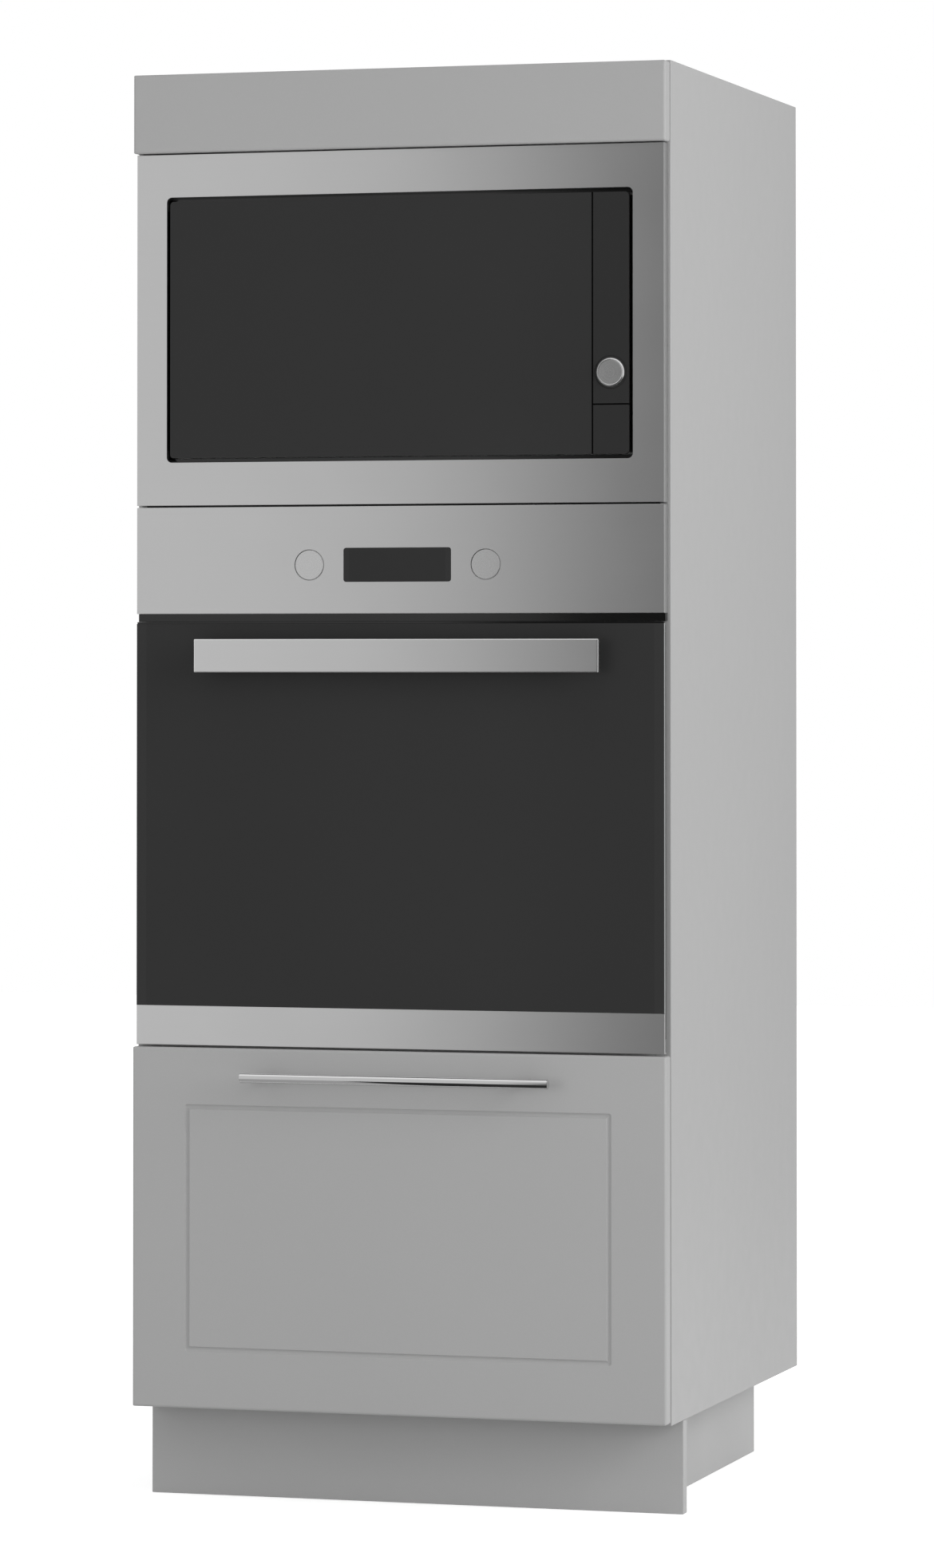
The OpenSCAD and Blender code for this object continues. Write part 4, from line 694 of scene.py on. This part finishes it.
def build_finishes(s):
    """Every finish of the unit, by name."""
    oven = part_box("door_glass")
    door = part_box("microwave_door_glass")
    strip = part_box("control_strip")
    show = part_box("display_window")
    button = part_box("release_button")
    FINISHES.update({
        "lacquer": lacquer("front_lacquer", s.front, 0.00002),
        "plinth": lacquer("plinth_lacquer", s.plinth, 0.00003),
        "board": melamine("board_melamine", s.board),
        "hardboard": hardboard("grey_hardboard", (0.42, 0.42, 0.42)),
        "steel": brushed("brushed_steel", s.steel),
        # painted light: the same brushed steel made 6 per cent lighter for the door trim and the oven handle,
        # to make up for the darker reflection they show
        "trim": brushed("brushed_steel_lightened", shade(s.steel, 1.06)),
        "knob_left": turned_steel("turned_steel_left", s.steel, knob_centre("oven_knob_left")),
        "knob_right": turned_steel("turned_steel_right", s.steel, knob_centre("oven_knob_right")),
        "knob_timer": turned_steel("turned_steel_timer", s.steel, knob_centre("timer_knob")),
        "chrome": polished("polished_chrome", s.chrome),
        "wire": polished("chromed_wire", (0.70, 0.70, 0.70)),
        "casing": galvanised("galvanised_sheet", (0.60, 0.61, 0.62), 55.0),
        "plate": plated("zinc_plate", (0.58, 0.59, 0.60)),
        "enamel": enamel("speckled_enamel", (0.030, 0.030, 0.034)),
        "coat": coated("black_coat", (0.035, 0.035, 0.035), 0.5, 800.0),
        "powder": coated("grey_powder_coat", (0.62, 0.62, 0.61), 0.42, 620.0),
        "oven_glass": black_glass("oven_glass", s.glass, oven, 0.011, 0.0002),
        # painted shade along the microwave glass's right edge, the control strip's left edge and the strip's
        # seam with the release button
        "door_glass": black_glass("microwave_glass", s.glass, door, seam_shades=[("X", door[1].x, 0.0006)]),
        "strip_glass": black_glass("strip_glass", shade(s.glass, 0.9), strip,
                                   seam_shades=[("X", strip[0].x, 0.0005), ("Z", button[1].z, 0.0008)]),
        "display": black_glass("display_glass", shade(s.glass, 0.92), show, 0.006),
        "skirt": matt_plastic("skirt_plastic", shade(s.glass, 0.8)),
        "gloss": gloss_plastic("gloss_black_plastic", s.gloss_black),
        "matt": matt_plastic("matt_black_plastic", (0.022, 0.022, 0.022)),
        "clear": clear_glass("clear_glass", (0.93, 0.96, 0.95)),
        "sheath": heated_sheath("heater_sheath", (0.10, 0.10, 0.10)),
        "rubber": rubber("black_rubber", (0.020, 0.020, 0.020)),
        # painted shade: a matt black rubber for the strip that stands in for the shade in the gap above the
        # control panel
        "gap_shade": rubber("black_shade_rubber", (0.003, 0.003, 0.003)),
        "mica": mica("mica_sheet", (0.46, 0.42, 0.35)),
        "screen": perforated("perforated_screen", (0.16, 0.16, 0.16), 0.0026),
    })


# The parts that each finish goes on
WEARS = {
    "lacquer": ["drawer_front", "top_filler"],
    "plinth": ["plinth_front", "plinth_returns"],
    "board": ["side_left", "side_right", "bottom_panel", "oven_shelf", "microwave_shelf", "top_panel",
              "wall_rail", "drawer_sides", "drawer_back"],
    "hardboard": ["back_panel", "drawer_base"],
    "steel": ["control_panel", "microwave_frame"],
    # the lightened copy of the brushed steel, with painted light
    "trim": ["door_trim", "oven_handle"],
    "knob_left": ["oven_knob_left"],
    "knob_right": ["oven_knob_right"],
    "knob_timer": ["timer_knob"],
    "chrome": ["drawer_handle"],
    "wire": ["side_racks", "wire_shelf"],
    "casing": ["oven_casing", "microwave_casing"],
    "plate": ["filler_brackets", "runner_outer", "runner_middle", "runner_inner", "hinge_brackets",
              "fan_motor", "turntable_motor", "knob_shaft_left", "knob_shaft_right", "convection_fan"],
    "enamel": ["oven_cavity", "fan_cover"],
    "coat": ["door_frame", "microwave_door_frame"],
    "powder": ["microwave_cavity"],
    "oven_glass": ["door_glass"],
    "door_glass": ["microwave_door_glass"],
    "strip_glass": ["control_strip", "release_button"],
    "display": ["display_window"],
    "gloss": ["air_outlet_trim"],
    "matt": ["leg_sockets", "foot_front_left", "foot_front_right", "foot_back_left", "foot_back_right",
             "rotary_switches", "terminal_box", "roller_ring"],
    "clear": ["door_inner_glass", "turntable"],
    "sheath": ["grill_element"],
    "rubber": ["door_gasket"],
}


class OVENUNIT_OT_finishes(bpy.types.Operator):
    """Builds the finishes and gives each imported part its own"""

    bl_idname = "ovenunit.finishes"
    bl_label = "Finishes"

    def execute(self, context):
        build_groups()
        build_finishes(context.scene.oven_unit_finishes)
        left = set(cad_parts)
        for finish, nodes in WEARS.items():
            for node in nodes:
                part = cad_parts[node]
                part.data.materials.clear()
                part.data.materials.append(FINISHES[finish])
                left.discard(node)
        if left:
            raise RuntimeError(f"parts without a finish: {sorted(left)}")
        return {"FINISHED"}


# ---- Fittings ----


class OVENUNIT_OT_seam_seal(bpy.types.Operator):
    """Adds painted shade: a matt black strip in the gap between the microwave's frame and the oven's control
    panel
    """

    bl_idname = "ovenunit.seam_seal"
    bl_label = "Seam shade strip"

    def execute(self, context):
        panel_low, panel_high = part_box("control_panel")
        frame_low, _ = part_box("microwave_frame")
        gap = frame_low.z - panel_high.z
        end, setback, seat, play = 0.011, 0.0007, 0.0002, 0.03 * gap
        low = (panel_low.x + end, panel_low.y + setback, panel_high.z + play)
        high = (panel_high.x - 0.7 * end, panel_high.y - seat, frame_low.z - play)
        # painted shade: the black strip fills the gap where there would only be shade
        grid = rounded_slab(low, high, 0.4 * gap, 0)
        make_piece("seam_shade_strip", [grid], "cabinet", "gap_shade")
        return {"FINISHED"}


class OVENUNIT_OT_door_lip(bpy.types.Operator):
    """Adds the black lip on top of the oven door's glass, under the air outlet"""

    bl_idname = "ovenunit.door_lip"
    bl_label = "Door lip"

    def execute(self, context):
        height = context.scene.oven_unit_fittings.lip
        low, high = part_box("door_glass")
        inset, seat, ease = 0.0004, 0.0002, 0.0003
        grid = rounded_slab((low.x + inset, low.y + inset, high.z),
                            (high.x - inset, high.y - seat, high.z + height), ease, 0)
        make_piece("door_lip", [grid], "oven_door", "gloss")
        return {"FINISHED"}


class OVENUNIT_OT_knob_collars(bpy.types.Operator):
    """Adds the thin steel collars that line the oven knobs' holes"""

    bl_idname = "ovenunit.knob_collars"
    bl_label = "Knob collars"

    def execute(self, context):
        """Each collar's lip is half an ellipse: radius out by w (1 - cos t) / 2, depth by d (1 - sin t)."""
        s = context.scene.oven_unit_fittings
        depth, setback, back_y = 0.0005, 0.0001, 0.0020
        t = np.linspace(0, np.pi, 9)
        grids = []
        for node in ("oven_knob_left", "oven_knob_right"):
            low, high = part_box(node)
            middle = (low + high) / 2
            inner = (high.x - low.x) / 2 + s.collar_play
            lip = np.stack([inner + s.collar * (1 - np.cos(t)) / 2, depth * (1 - np.sin(t)) + setback], -1)
            back = [(inner + s.collar, back_y), (inner, back_y)]
            profile = np.concatenate([lip, back, lip[:1]])
            grids.append(turned((middle.x, low.y, middle.z), (0, 1, 0), profile, segments=96))
        make_piece("knob_collars", grids, "cabinet", "steel")
        return {"FINISHED"}


class OVENUNIT_OT_timer_knob(bpy.types.Operator):
    """Adds the microwave's knob: a bevelled steel cap with a raised rim on a black skirt"""

    bl_idname = "ovenunit.timer_knob"
    bl_label = "Timer knob"

    def execute(self, context):
        s = context.scene.oven_unit_fittings
        low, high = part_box("timer_knob")
        r = (high.x - low.x) / 2
        middle = (low.x + high.x) / 2, low.y, (low.z + high.z) / 2
        cap, pane, end = r - s.skirt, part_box("control_strip")[0].y - low.y, high.y - low.y
        dish, shaft, foot, join = 0.0003, 0.003, pane + 0.0003, pane + 0.0004
        # Insets from the cap's edge: the dish, the rim's two sides and the bevel
        dish_in, rim_in, rim_out, bevel_in = 0.0024, 0.0020, 0.0016, 0.0004
        bevel_from, bevel_to = 0.0010, 0.0016
        face = [(0.0, dish), (cap - dish_in, dish), (cap - rim_in, 0.0), (cap - rim_out, 0.0),
                (cap - bevel_in, bevel_from), (cap, bevel_to), (cap, foot), (0.0, foot)]
        grid = turned(middle, (0, 1, 0), face, segments=128)
        knob = make_piece("timer_knob_cap", [grid], "timer_knob", "knob_timer")
        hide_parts("timer_knob")
        ease, heel, taper_end = 0.0002, pane + 0.004, pane + 0.02
        skirt = [(0.0, join), (r - ease, join), (r, join + ease), (r, heel),
                 (shaft + 0.001, heel), (shaft, taper_end), (shaft, end), (0.0, end)]
        grid = turned(middle, (0, 1, 0), skirt, segments=128)
        make_piece("timer_knob_skirt", [grid], "timer_knob", "skirt")
        return {"FINISHED"}


def liner_ring(half_x, half_z, middle_z, radius, y, segments=8):
    """A rounded rectangle in the plane y: straight sides joined by quarter circles."""
    angle, sign = corner_arcs(segments)
    x = sign[:, 0] * (half_x - radius) + radius * np.cos(angle)
    z = sign[:, 1] * (half_z - radius) + radius * np.sin(angle) + middle_z
    return np.stack([x, np.full_like(x, y), z], -1)


class OVENUNIT_OT_microwave_liner(bpy.types.Operator):
    """Adds the black liner that closes the gap round the microwave's front"""

    bl_idname = "ovenunit.microwave_liner"
    bl_label = "Microwave liner"

    def execute(self, context):
        wall = context.scene.oven_unit_fittings.liner
        low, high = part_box("microwave_frame")
        pane_low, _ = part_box("microwave_door_glass")
        _, pane_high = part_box("control_strip")
        gap_x, gap_z, seat, corner, least = 0.0042, 0.0049, 0.00005, 0.0058, 0.0008
        half_x = pane_high.x + gap_x
        middle_z = (pane_low.z + pane_high.z) / 2
        half_z = (pane_high.z - pane_low.z) / 2 + gap_z
        front, back = low.y + 0.0016, high.y - 0.0001
        flange, lip_x, lip_z = back - 0.0004, 0.0037, 0.0044
        profile = [(seat, seat, front), (wall, wall, front), (wall, wall, flange),
                   (lip_x, lip_z, flange), (lip_x, lip_z, back), (seat, seat, back)]
        rings = [liner_ring(half_x - a, half_z - b, middle_z, max(corner - a, least), y)
                 for a, b, y in profile]
        grid = np.stack(rings + rings[:1])
        make_piece("microwave_liner", [grid], "cabinet", "gloss")
        return {"FINISHED"}


# The drawer sides' board, and the wall and place of the brackets on it
DRAWER_BOARD = 0.015
BRACKET_WALL = 0.0018
BRACKET_INSET = 0.060


class OVENUNIT_OT_drawer_fittings(bpy.types.Operator):
    """Adds the brackets that hold the drawer's front to its sides"""

    bl_idname = "ovenunit.drawer_fittings"
    bl_label = "Drawer fittings"

    def execute(self, context):
        side_low, side_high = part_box("drawer_sides")
        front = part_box("drawer_front")[1].y
        inner = side_high.x - DRAWER_BOARD
        half, long, short = 0.012, 0.046, 0.030
        grids = []
        for sign in (-1, 1):
            for z in (side_low.z + BRACKET_INSET, side_high.z - BRACKET_INSET):
                for wide, deep in ((BRACKET_WALL, long), (short, BRACKET_WALL)):
                    x = sorted((sign * inner, sign * (inner - wide)))
                    grids.append(rounded_slab((x[0], front, z - half), (x[1], front + deep, z + half),
                                              0.0008, 2))
        make_piece("front_brackets", grids, "drawer", "plate")
        return {"FINISHED"}


class OVENUNIT_OT_oven_lamp(bpy.types.Operator):
    """Adds the lamp's ring and glass on the oven's back wall"""

    bl_idname = "ovenunit.oven_lamp"
    bl_label = "Oven lamp"

    def execute(self, context):
        r = context.scene.oven_unit_fittings.lamp
        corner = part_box("fan_cover")[1]
        origin = (corner.x + 1.35 * r, corner.y, corner.z - r)
        out, floor, side, top = (0, -1, 0), 0.003, 0.004, 0.0055
        turn = np.linspace(0, np.pi / 2, 9)
        dome = [(0.82 * r * math.cos(t), floor + 0.40 * r * math.sin(t)) for t in turn]
        ring = [(0.0, 0.0), (r, 0.0), (r, side), (0.96 * r, top), (0.86 * r, top), (0.84 * r, floor),
                (0.0, floor)]
        make_piece("lamp_ring", [turned(origin, out, ring)], "cabinet", "plate")
        glass = [(0.0, floor), (0.82 * r, floor)] + dome
        make_piece("lamp_glass", [turned(origin, out, glass)], "cabinet", "clear")
        return {"FINISHED"}


class OVENUNIT_OT_oven_probe(bpy.types.Operator):
    """Adds the temperature probe and its clip near the oven's roof"""

    bl_idname = "ovenunit.oven_probe"
    bl_label = "Oven probe"

    def execute(self, context):
        r = context.scene.oven_unit_fittings.probe
        cover_low, cover_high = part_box("fan_cover")
        aside, above, sway, reach, rise, steps = 0.030, 0.020, 0.010, 0.130, 0.004, 23
        t = np.linspace(0, 1, steps + 1)[:, None]
        start = np.array([cover_low.x - aside, cover_high.y, cover_high.z + above])
        sweep = np.hstack([sway * np.sin(np.pi * t), -reach * t, rise * np.sin(np.pi * t)])
        grids = [tube(start + sweep, r)]
        clip, length = 1.7 * r, 0.006
        band = [(0, 0), (clip, 0), (clip, length), (0, length)]
        for part in (0.3, 0.75):
            at = start + sweep[int(part * steps)] - [0, length / 2, 0]
            grids.append(turned(at, (0, 1, 0), band, segments=20))
        make_piece("temperature_probe", grids, "cabinet", "plate")
        return {"FINISHED"}


class OVENUNIT_OT_door_clips(bpy.types.Operator):
    """Adds the clips that hold the oven door's inner glass"""

    bl_idname = "ovenunit.door_clips"
    bl_label = "Door clips"

    def execute(self, context):
        length = context.scene.oven_unit_fittings.clip
        low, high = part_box("door_inner_glass")
        grids = []
        lap, reach, inset, seat, proud, ease = 0.0015, 0.009, 0.06, 0.0003, 0.0014, 0.0006
        for x in (low.x + inset, high.x - inset - length):
            for z0, z1 in ((low.z - lap, low.z + reach), (high.z - reach, high.z + lap)):
                grids.append(rounded_slab((x, high.y - seat, z0), (x + length, high.y + proud, z1),
                                          ease, 0))
        make_piece("glass_clips", grids, "oven_door", "matt")
        return {"FINISHED"}


class OVENUNIT_OT_microwave_inside(bpy.types.Operator):
    """Adds the wave guide's cover and the door's perforated screen"""

    bl_idname = "ovenunit.microwave_inside"
    bl_label = "Microwave inside"

    def execute(self, context):
        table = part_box("turntable")[1]
        wall, cover_t = 0.1699, 0.0008
        front, back = table.y - 0.21, table.y - 0.09
        bottom, top = table.z + 0.045, table.z + 0.125
        grid = rounded_slab((wall - cover_t, front, bottom), (wall, back, top), cover_t / 2, 0)
        make_piece("wave_guide_cover", [grid], "cabinet", "mica")
        deep, screen_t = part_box("microwave_door_frame")[0].y + 0.0114, 0.0006
        (left, bottom), (right, top) = (-0.2010, 1.1795), (0.1610, 1.3610)
        grid = rounded_slab((left, deep, bottom), (right, deep + screen_t, top), screen_t / 2, 1)
        make_piece("door_screen", [grid], "microwave_door", "screen")
        return {"FINISHED"}


class OVENUNIT_OT_casing_ribs(bpy.types.Operator):
    """Adds the ribs pressed into the back of the oven's casing"""

    bl_idname = "ovenunit.casing_ribs"
    bl_label = "Casing ribs"

    def execute(self, context):
        """Each rib rises as height x (1 - |u|^4) x (1 - |v|^2) over its length u and its width v."""
        s = context.scene.oven_unit_fittings
        low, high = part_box("oven_casing")
        u = np.linspace(-1, 1, 33)[:, None]
        v = np.linspace(-1, 1, 13)[None, :]
        swell = (1 - u**4) * (1 - v**2)
        half_x, half_z, first, pitch = 0.21, 0.016, 0.060, 0.085
        x, wall = half_x * u * np.ones_like(v), high.y - 0.0002
        grids = []
        for k in range(s.ribs):
            z = low.z + first + k * pitch + half_z * v * np.ones_like(u)
            top = np.stack([x, wall + s.rib * swell, z], -1)
            under = np.stack([x, np.full_like(x, wall), z], -1)
            grids.append(np.concatenate([top, under[:, ::-1]], axis=1))
        make_piece("casing_ribs", grids, "cabinet", "casing")
        return {"FINISHED"}


def ends(box, axis, inset):
    """Two places on an axis, set in from a box's ends."""
    return getattr(box[0], axis) + inset, getattr(box[1], axis) - inset


def heads_at(xs, y, zs, axis, radius):
    """A screw head at every x and z in the plane y: its place, axis and radius."""
    return [((x, y, z), axis, radius) for x in xs for z in zs]


class OVENUNIT_OT_screws(bpy.types.Operator):
    """Adds the screws that show on the drawer, the door, the oven's inside and the casings' backs"""

    bl_idname = "ovenunit.screws"
    bl_label = "Screws"

    def execute(self, context):
        r = context.scene.oven_unit_fittings.screw
        large, small, back, out = 1.2 * r, 0.8 * r, (0, 1, 0), (0, -1, 0)
        bar, sides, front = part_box("drawer_handle"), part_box("drawer_sides"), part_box("drawer_front")[1].y
        post_inset, bracket_holes, foot_hole = 0.028, (0.018, 0.036), 0.022
        bar_z = (bar[0].z + bar[1].z) / 2
        inner, levels = sides[1].x - DRAWER_BOARD, ends(sides, "z", BRACKET_INSET)
        drawer = heads_at(ends(bar, "x", post_inset), front, [bar_z], back, large)
        for s in (-1, 1):
            for y in bracket_holes:
                drawer += heads_at([s * (inner - BRACKET_WALL)], front + y, levels, (-s, 0, 0), small)
        feet = [s * (inner - foot_hole) for s in (-1, 1)]
        drawer += heads_at(feet, front + BRACKET_WALL, levels, back, small)

        oven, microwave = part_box("oven_casing"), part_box("microwave_casing")
        oven_flange, microwave_flange = 0.268, 0.262
        heights = (0.520, 0.660, 0.800, 0.930, 1.050)
        casing = heads_at((-oven_flange, oven_flange), oven[1].y, heights, back, r)
        across = (-microwave_flange, 0.0, microwave_flange)
        casing += heads_at(across, microwave[1].y, ends(microwave, "z", 0.012), back, r)

        box, cover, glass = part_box("terminal_box"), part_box("fan_cover"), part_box("door_inner_glass")
        heads = [
            ("drawer_screws", "drawer", drawer),
            ("casing_screws", "cabinet", casing),
            ("terminal_screws", "cabinet",
             heads_at(ends(box, "x", 0.008), box[1].y, [box[1].z - 0.006], back, 0.9 * r)),
            ("cover_screws", "cabinet",
             heads_at(ends(cover, "x", 0.008), cover[0].y, ends(cover, "z", 0.010), out, r)),
            ("door_screws", "oven_door", heads_at(ends(glass, "x", -0.0025), glass[1].y - 0.004,
                                                  ends(glass, "z", 0.03), back, small)),
        ]
        turns = np.random.default_rng(7)
        for name, body, places in heads:
            grids = [screw_head(*place, turns.uniform(0, np.pi)) for place in places]
            make_piece(name, grids, body, "plate")
        return {"FINISHED"}


# ---- Studio ----


def ray_mask(tree):
    """1 for what the camera sees directly, in metal or through glass."""
    path = add(tree, "ShaderNodeLightPath")
    seen = maths(tree, "MAXIMUM", path.outputs["Is Camera Ray"], path.outputs["Is Glossy Ray"])
    return maths(tree, "MAXIMUM", seen, path.outputs["Is Transmission Ray"])


def flat_sheet(name, origin, along, side, material):
    """A flat grid for the stage: origin + s x along + t x side."""
    rows = 9
    s, t = np.meshgrid(np.linspace(0, 1, rows), np.linspace(0, 1, rows), indexing="ij")
    points = np.array(origin) + s[..., None] * np.array(along) + t[..., None] * np.array(side)
    mesh = bpy.data.meshes.new(name)
    mesh.from_pydata(points.reshape(-1, 3).tolist(), [], grid_faces(rows, rows, False).tolist())
    mesh.materials.append(material)
    sheet = bpy.data.objects.new(name, mesh)
    bpy.context.scene.collection.objects.link(sheet)
    return sheet


def floor_finish(lift):
    """Pale floor: an even white with faint clouds, lifted where the camera sees it so it ends white."""
    f = Finish("studio_floor", (0.80, 0.80, 0.80), 0.9, Specular_IOR_Level=0.1)
    f.clouds(0.8, 0.995, 1.005)
    lifted = maths(f.tree, "MULTIPLY", ray_mask(f.tree), lift)
    glow = add(f.tree, "ShaderNodeEmission", {"Strength": lifted})
    both = add(f.tree, "ShaderNodeAddShader", {0: f.shader.outputs[0], 1: glow.outputs[0]})
    material = f.done()
    f.tree.links.new(both.outputs[0], f.surface)
    return material


# Where the reflection card stands, how it leans with the view, and the front's place
CARD_X, CARD_Y, CARD_Z = -4.0, -1.57, 0.02
CARD_WIDTH, CARD_HEIGHT = 7.0, 2.6
CARD_LEAN, FRONT_Y = -0.303, -0.30
# Where the card's tones meet: from and to across the card, and from and to up the card
TONES_MEET, FOOT_TONES_MEET = (0.115, 0.235), (-0.095, -0.065)
FOOT_ENDS, TOP_BEGINS = (0.07, 0.14), (2.40, 2.60)


def soft_step(tree, value, reach, first=0.0, last=1.0):
    """A soft step from first to last over a reach, which has a low and a high end."""
    return spread(tree, value, *reach, first, last, interpolation_type="SMOOTHSTEP")


def card_finish(s):
    """What metal shows: a left and a right tone that meet at a soft edge, which runs with the view.

    Near the floor the tones differ and meet further left, for the bar's lower side, and at the top
    it turns white, for the bar's upper side. The distance that picks a tone is
    x + CARD_LEAN (y - FRONT_Y).
    """
    material, tree, surface = empty_material("reflection_card")
    where = add(tree, "ShaderNodeTexCoord").outputs["Object"]
    parts = add(tree, "ShaderNodeSeparateXYZ", {0: where}).outputs
    lean = maths(tree, "MULTIPLY", maths(tree, "SUBTRACT", parts["Y"], FRONT_Y), CARD_LEAN)
    away = maths(tree, "ADD", parts["X"], lean)
    main = soft_step(tree, away, TONES_MEET, s.card_light, s.card_dark)
    foot = soft_step(tree, away, FOOT_TONES_MEET, s.foot_light, s.foot_dark)
    above_foot = soft_step(tree, parts["Z"], FOOT_ENDS)
    near_top = soft_step(tree, parts["Z"], TOP_BEGINS)
    low = add(tree, "ShaderNodeMix", {0: above_foot, 2: foot, 3: main}).outputs[0]
    top = add(tree, "ShaderNodeMix", {0: near_top, 2: low, 3: 1.0}).outputs[0]
    tree.links.new(add(tree, "ShaderNodeEmission", {"Strength": top}).outputs[0], surface)
    return material


def plain_card(tone):
    """An even card for metal to show."""
    material, tree, surface = empty_material("side_card")
    tree.links.new(add(tree, "ShaderNodeEmission", {"Strength": tone}).outputs[0], surface)
    return material


def soft_light(name, place, aim, size, power):
    """A square area light at a place that looks at a point."""
    lamp = bpy.data.lights.new(name, "AREA")
    lamp.shape, lamp.size, lamp.energy = "SQUARE", size, power
    light = bpy.data.objects.new(name, lamp)
    bpy.context.scene.collection.objects.link(light)
    light.location = place
    way = np.array(aim) - np.array(place)
    flat = math.hypot(way[0], way[1])
    light.rotation_euler = (math.atan2(flat, -way[2]), 0.0, math.atan2(way[1], way[0]) - math.pi / 2)
    light.visible_glossy = False


def build_world(strength):
    """Even light from all round, which the camera sees as white."""
    world = bpy.data.worlds.new("studio_world")
    world.use_nodes = True
    tree = world.node_tree
    tree.nodes.clear()
    lit = add(tree, "ShaderNodeBackground", {"Color": (1, 1, 1, 1), "Strength": strength})
    seen = add(tree, "ShaderNodeBackground", {"Color": (1, 1, 1, 1), "Strength": 1.0})
    both = add(tree, "ShaderNodeMixShader", {0: ray_mask(tree), 1: lit.outputs[0], 2: seen.outputs[0]})
    add(tree, "ShaderNodeOutputWorld", {"Surface": both.outputs[0]})
    bpy.context.scene.world = world


# The camera's place, how far it turns left and looks up, and how its picture is shifted
CAMERA_PLACE = (1.9082, -6.40825, 0.9101)
CAMERA_LEFT, CAMERA_UP = 0.292, 0.019
SHIFT_X, SHIFT_Y = 0.0081, -0.1507


def place_camera(focal_length):
    """The camera that sees the unit as the photograph does."""
    lens = bpy.data.cameras.new("camera")
    lens.lens, lens.sensor_width = focal_length, 36.0
    lens.shift_x, lens.shift_y = SHIFT_X, SHIFT_Y
    camera = bpy.data.objects.new("camera", lens)
    bpy.context.scene.collection.objects.link(camera)
    camera.location = CAMERA_PLACE
    camera.rotation_euler = (math.pi / 2 + CAMERA_UP, 0.0, CAMERA_LEFT)
    bpy.context.scene.camera = camera


class OVENUNIT_OT_studio(bpy.types.Operator):
    """Builds the floor, the lights, the card that metal shows, and the camera"""

    bl_idname = "ovenunit.studio"
    bl_label = "Studio"

    def execute(self, context):
        s = context.scene.oven_unit_studio
        half, drop = 9, 0.0005
        flat_sheet("studio_floor", (-half, -half, -drop), (2 * half, 0, 0), (0, 2 * half, 0),
                   floor_finish(s.floor_lift))

        tones = card_finish(s)
        corner, wide, high = (CARD_X, CARD_Y, CARD_Z), (CARD_WIDTH, 0, 0), (0, 0, CARD_HEIGHT)
        cards = [
            flat_sheet("reflection_card", corner, wide, high, tones),
            flat_sheet("reflection_foot", corner, wide, (0, FRONT_Y - CARD_Y, 0), tones),
            flat_sheet("side_card", (0.34, 2.5, CARD_Z), (4.2, 0, 0), high, plain_card(s.card_side)),
        ]
        for card in cards:
            for rays in ("camera", "diffuse", "transmission", "shadow", "volume_scatter"):
                setattr(card, "visible_" + rays, False)

        soft_light("key_light", place=(3.5, -1.3, 1.8), aim=(0, 0, 0.7), size=2.2, power=s.key)
        soft_light("fill_light", place=(-1.0, -4.6, 0.8), aim=(0, 0, 0.6), size=2.0, power=s.fill)
        build_world(s.world)
        place_camera(s.lens)
        context.scene.view_settings.view_transform = "Standard"
        return {"FINISHED"}


OPERATORS = [
    OVENUNIT_OT_finishes,
    OVENUNIT_OT_seam_seal,
    OVENUNIT_OT_door_lip,
    OVENUNIT_OT_knob_collars,
    OVENUNIT_OT_timer_knob,
    OVENUNIT_OT_microwave_liner,
    OVENUNIT_OT_drawer_fittings,
    OVENUNIT_OT_oven_lamp,
    OVENUNIT_OT_oven_probe,
    OVENUNIT_OT_door_clips,
    OVENUNIT_OT_microwave_inside,
    OVENUNIT_OT_casing_ribs,
    OVENUNIT_OT_screws,
    OVENUNIT_OT_studio,
]


class OVENUNIT_PT_panel(bpy.types.Panel):
    """The oven unit's steps in the sidebar"""

    bl_label = "Oven unit"
    bl_idname = "OVENUNIT_PT_panel"
    bl_space_type = "VIEW_3D"
    bl_region_type = "UI"
    bl_category = "Oven unit"

    def draw(self, context):
        for operator in OPERATORS:
            self.layout.operator(operator.bl_idname)


SETTINGS = {
    "oven_unit_finishes": FinishSettings,
    "oven_unit_fittings": FittingSettings,
    "oven_unit_studio": StudioSettings,
}


def register():
    """Registers the settings, the operators and the panel."""
    for name, kind in SETTINGS.items():
        bpy.utils.register_class(kind)
        setattr(bpy.types.Scene, name, PointerProperty(type=kind))
    for kind in [*OPERATORS, OVENUNIT_PT_panel]:
        bpy.utils.register_class(kind)


def unregister():
    """Takes them out again."""
    for kind in reversed([*OPERATORS, OVENUNIT_PT_panel]):
        bpy.utils.unregister_class(kind)
    for name, kind in SETTINGS.items():
        delattr(bpy.types.Scene, name)
        bpy.utils.unregister_class(kind)


def main():
    """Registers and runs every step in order."""
    register()
    for operator in OPERATORS:
        group, action = operator.bl_idname.split(".")
        getattr(getattr(bpy.ops, group), action)()
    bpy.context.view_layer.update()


if __name__ == "__main__":
    main()
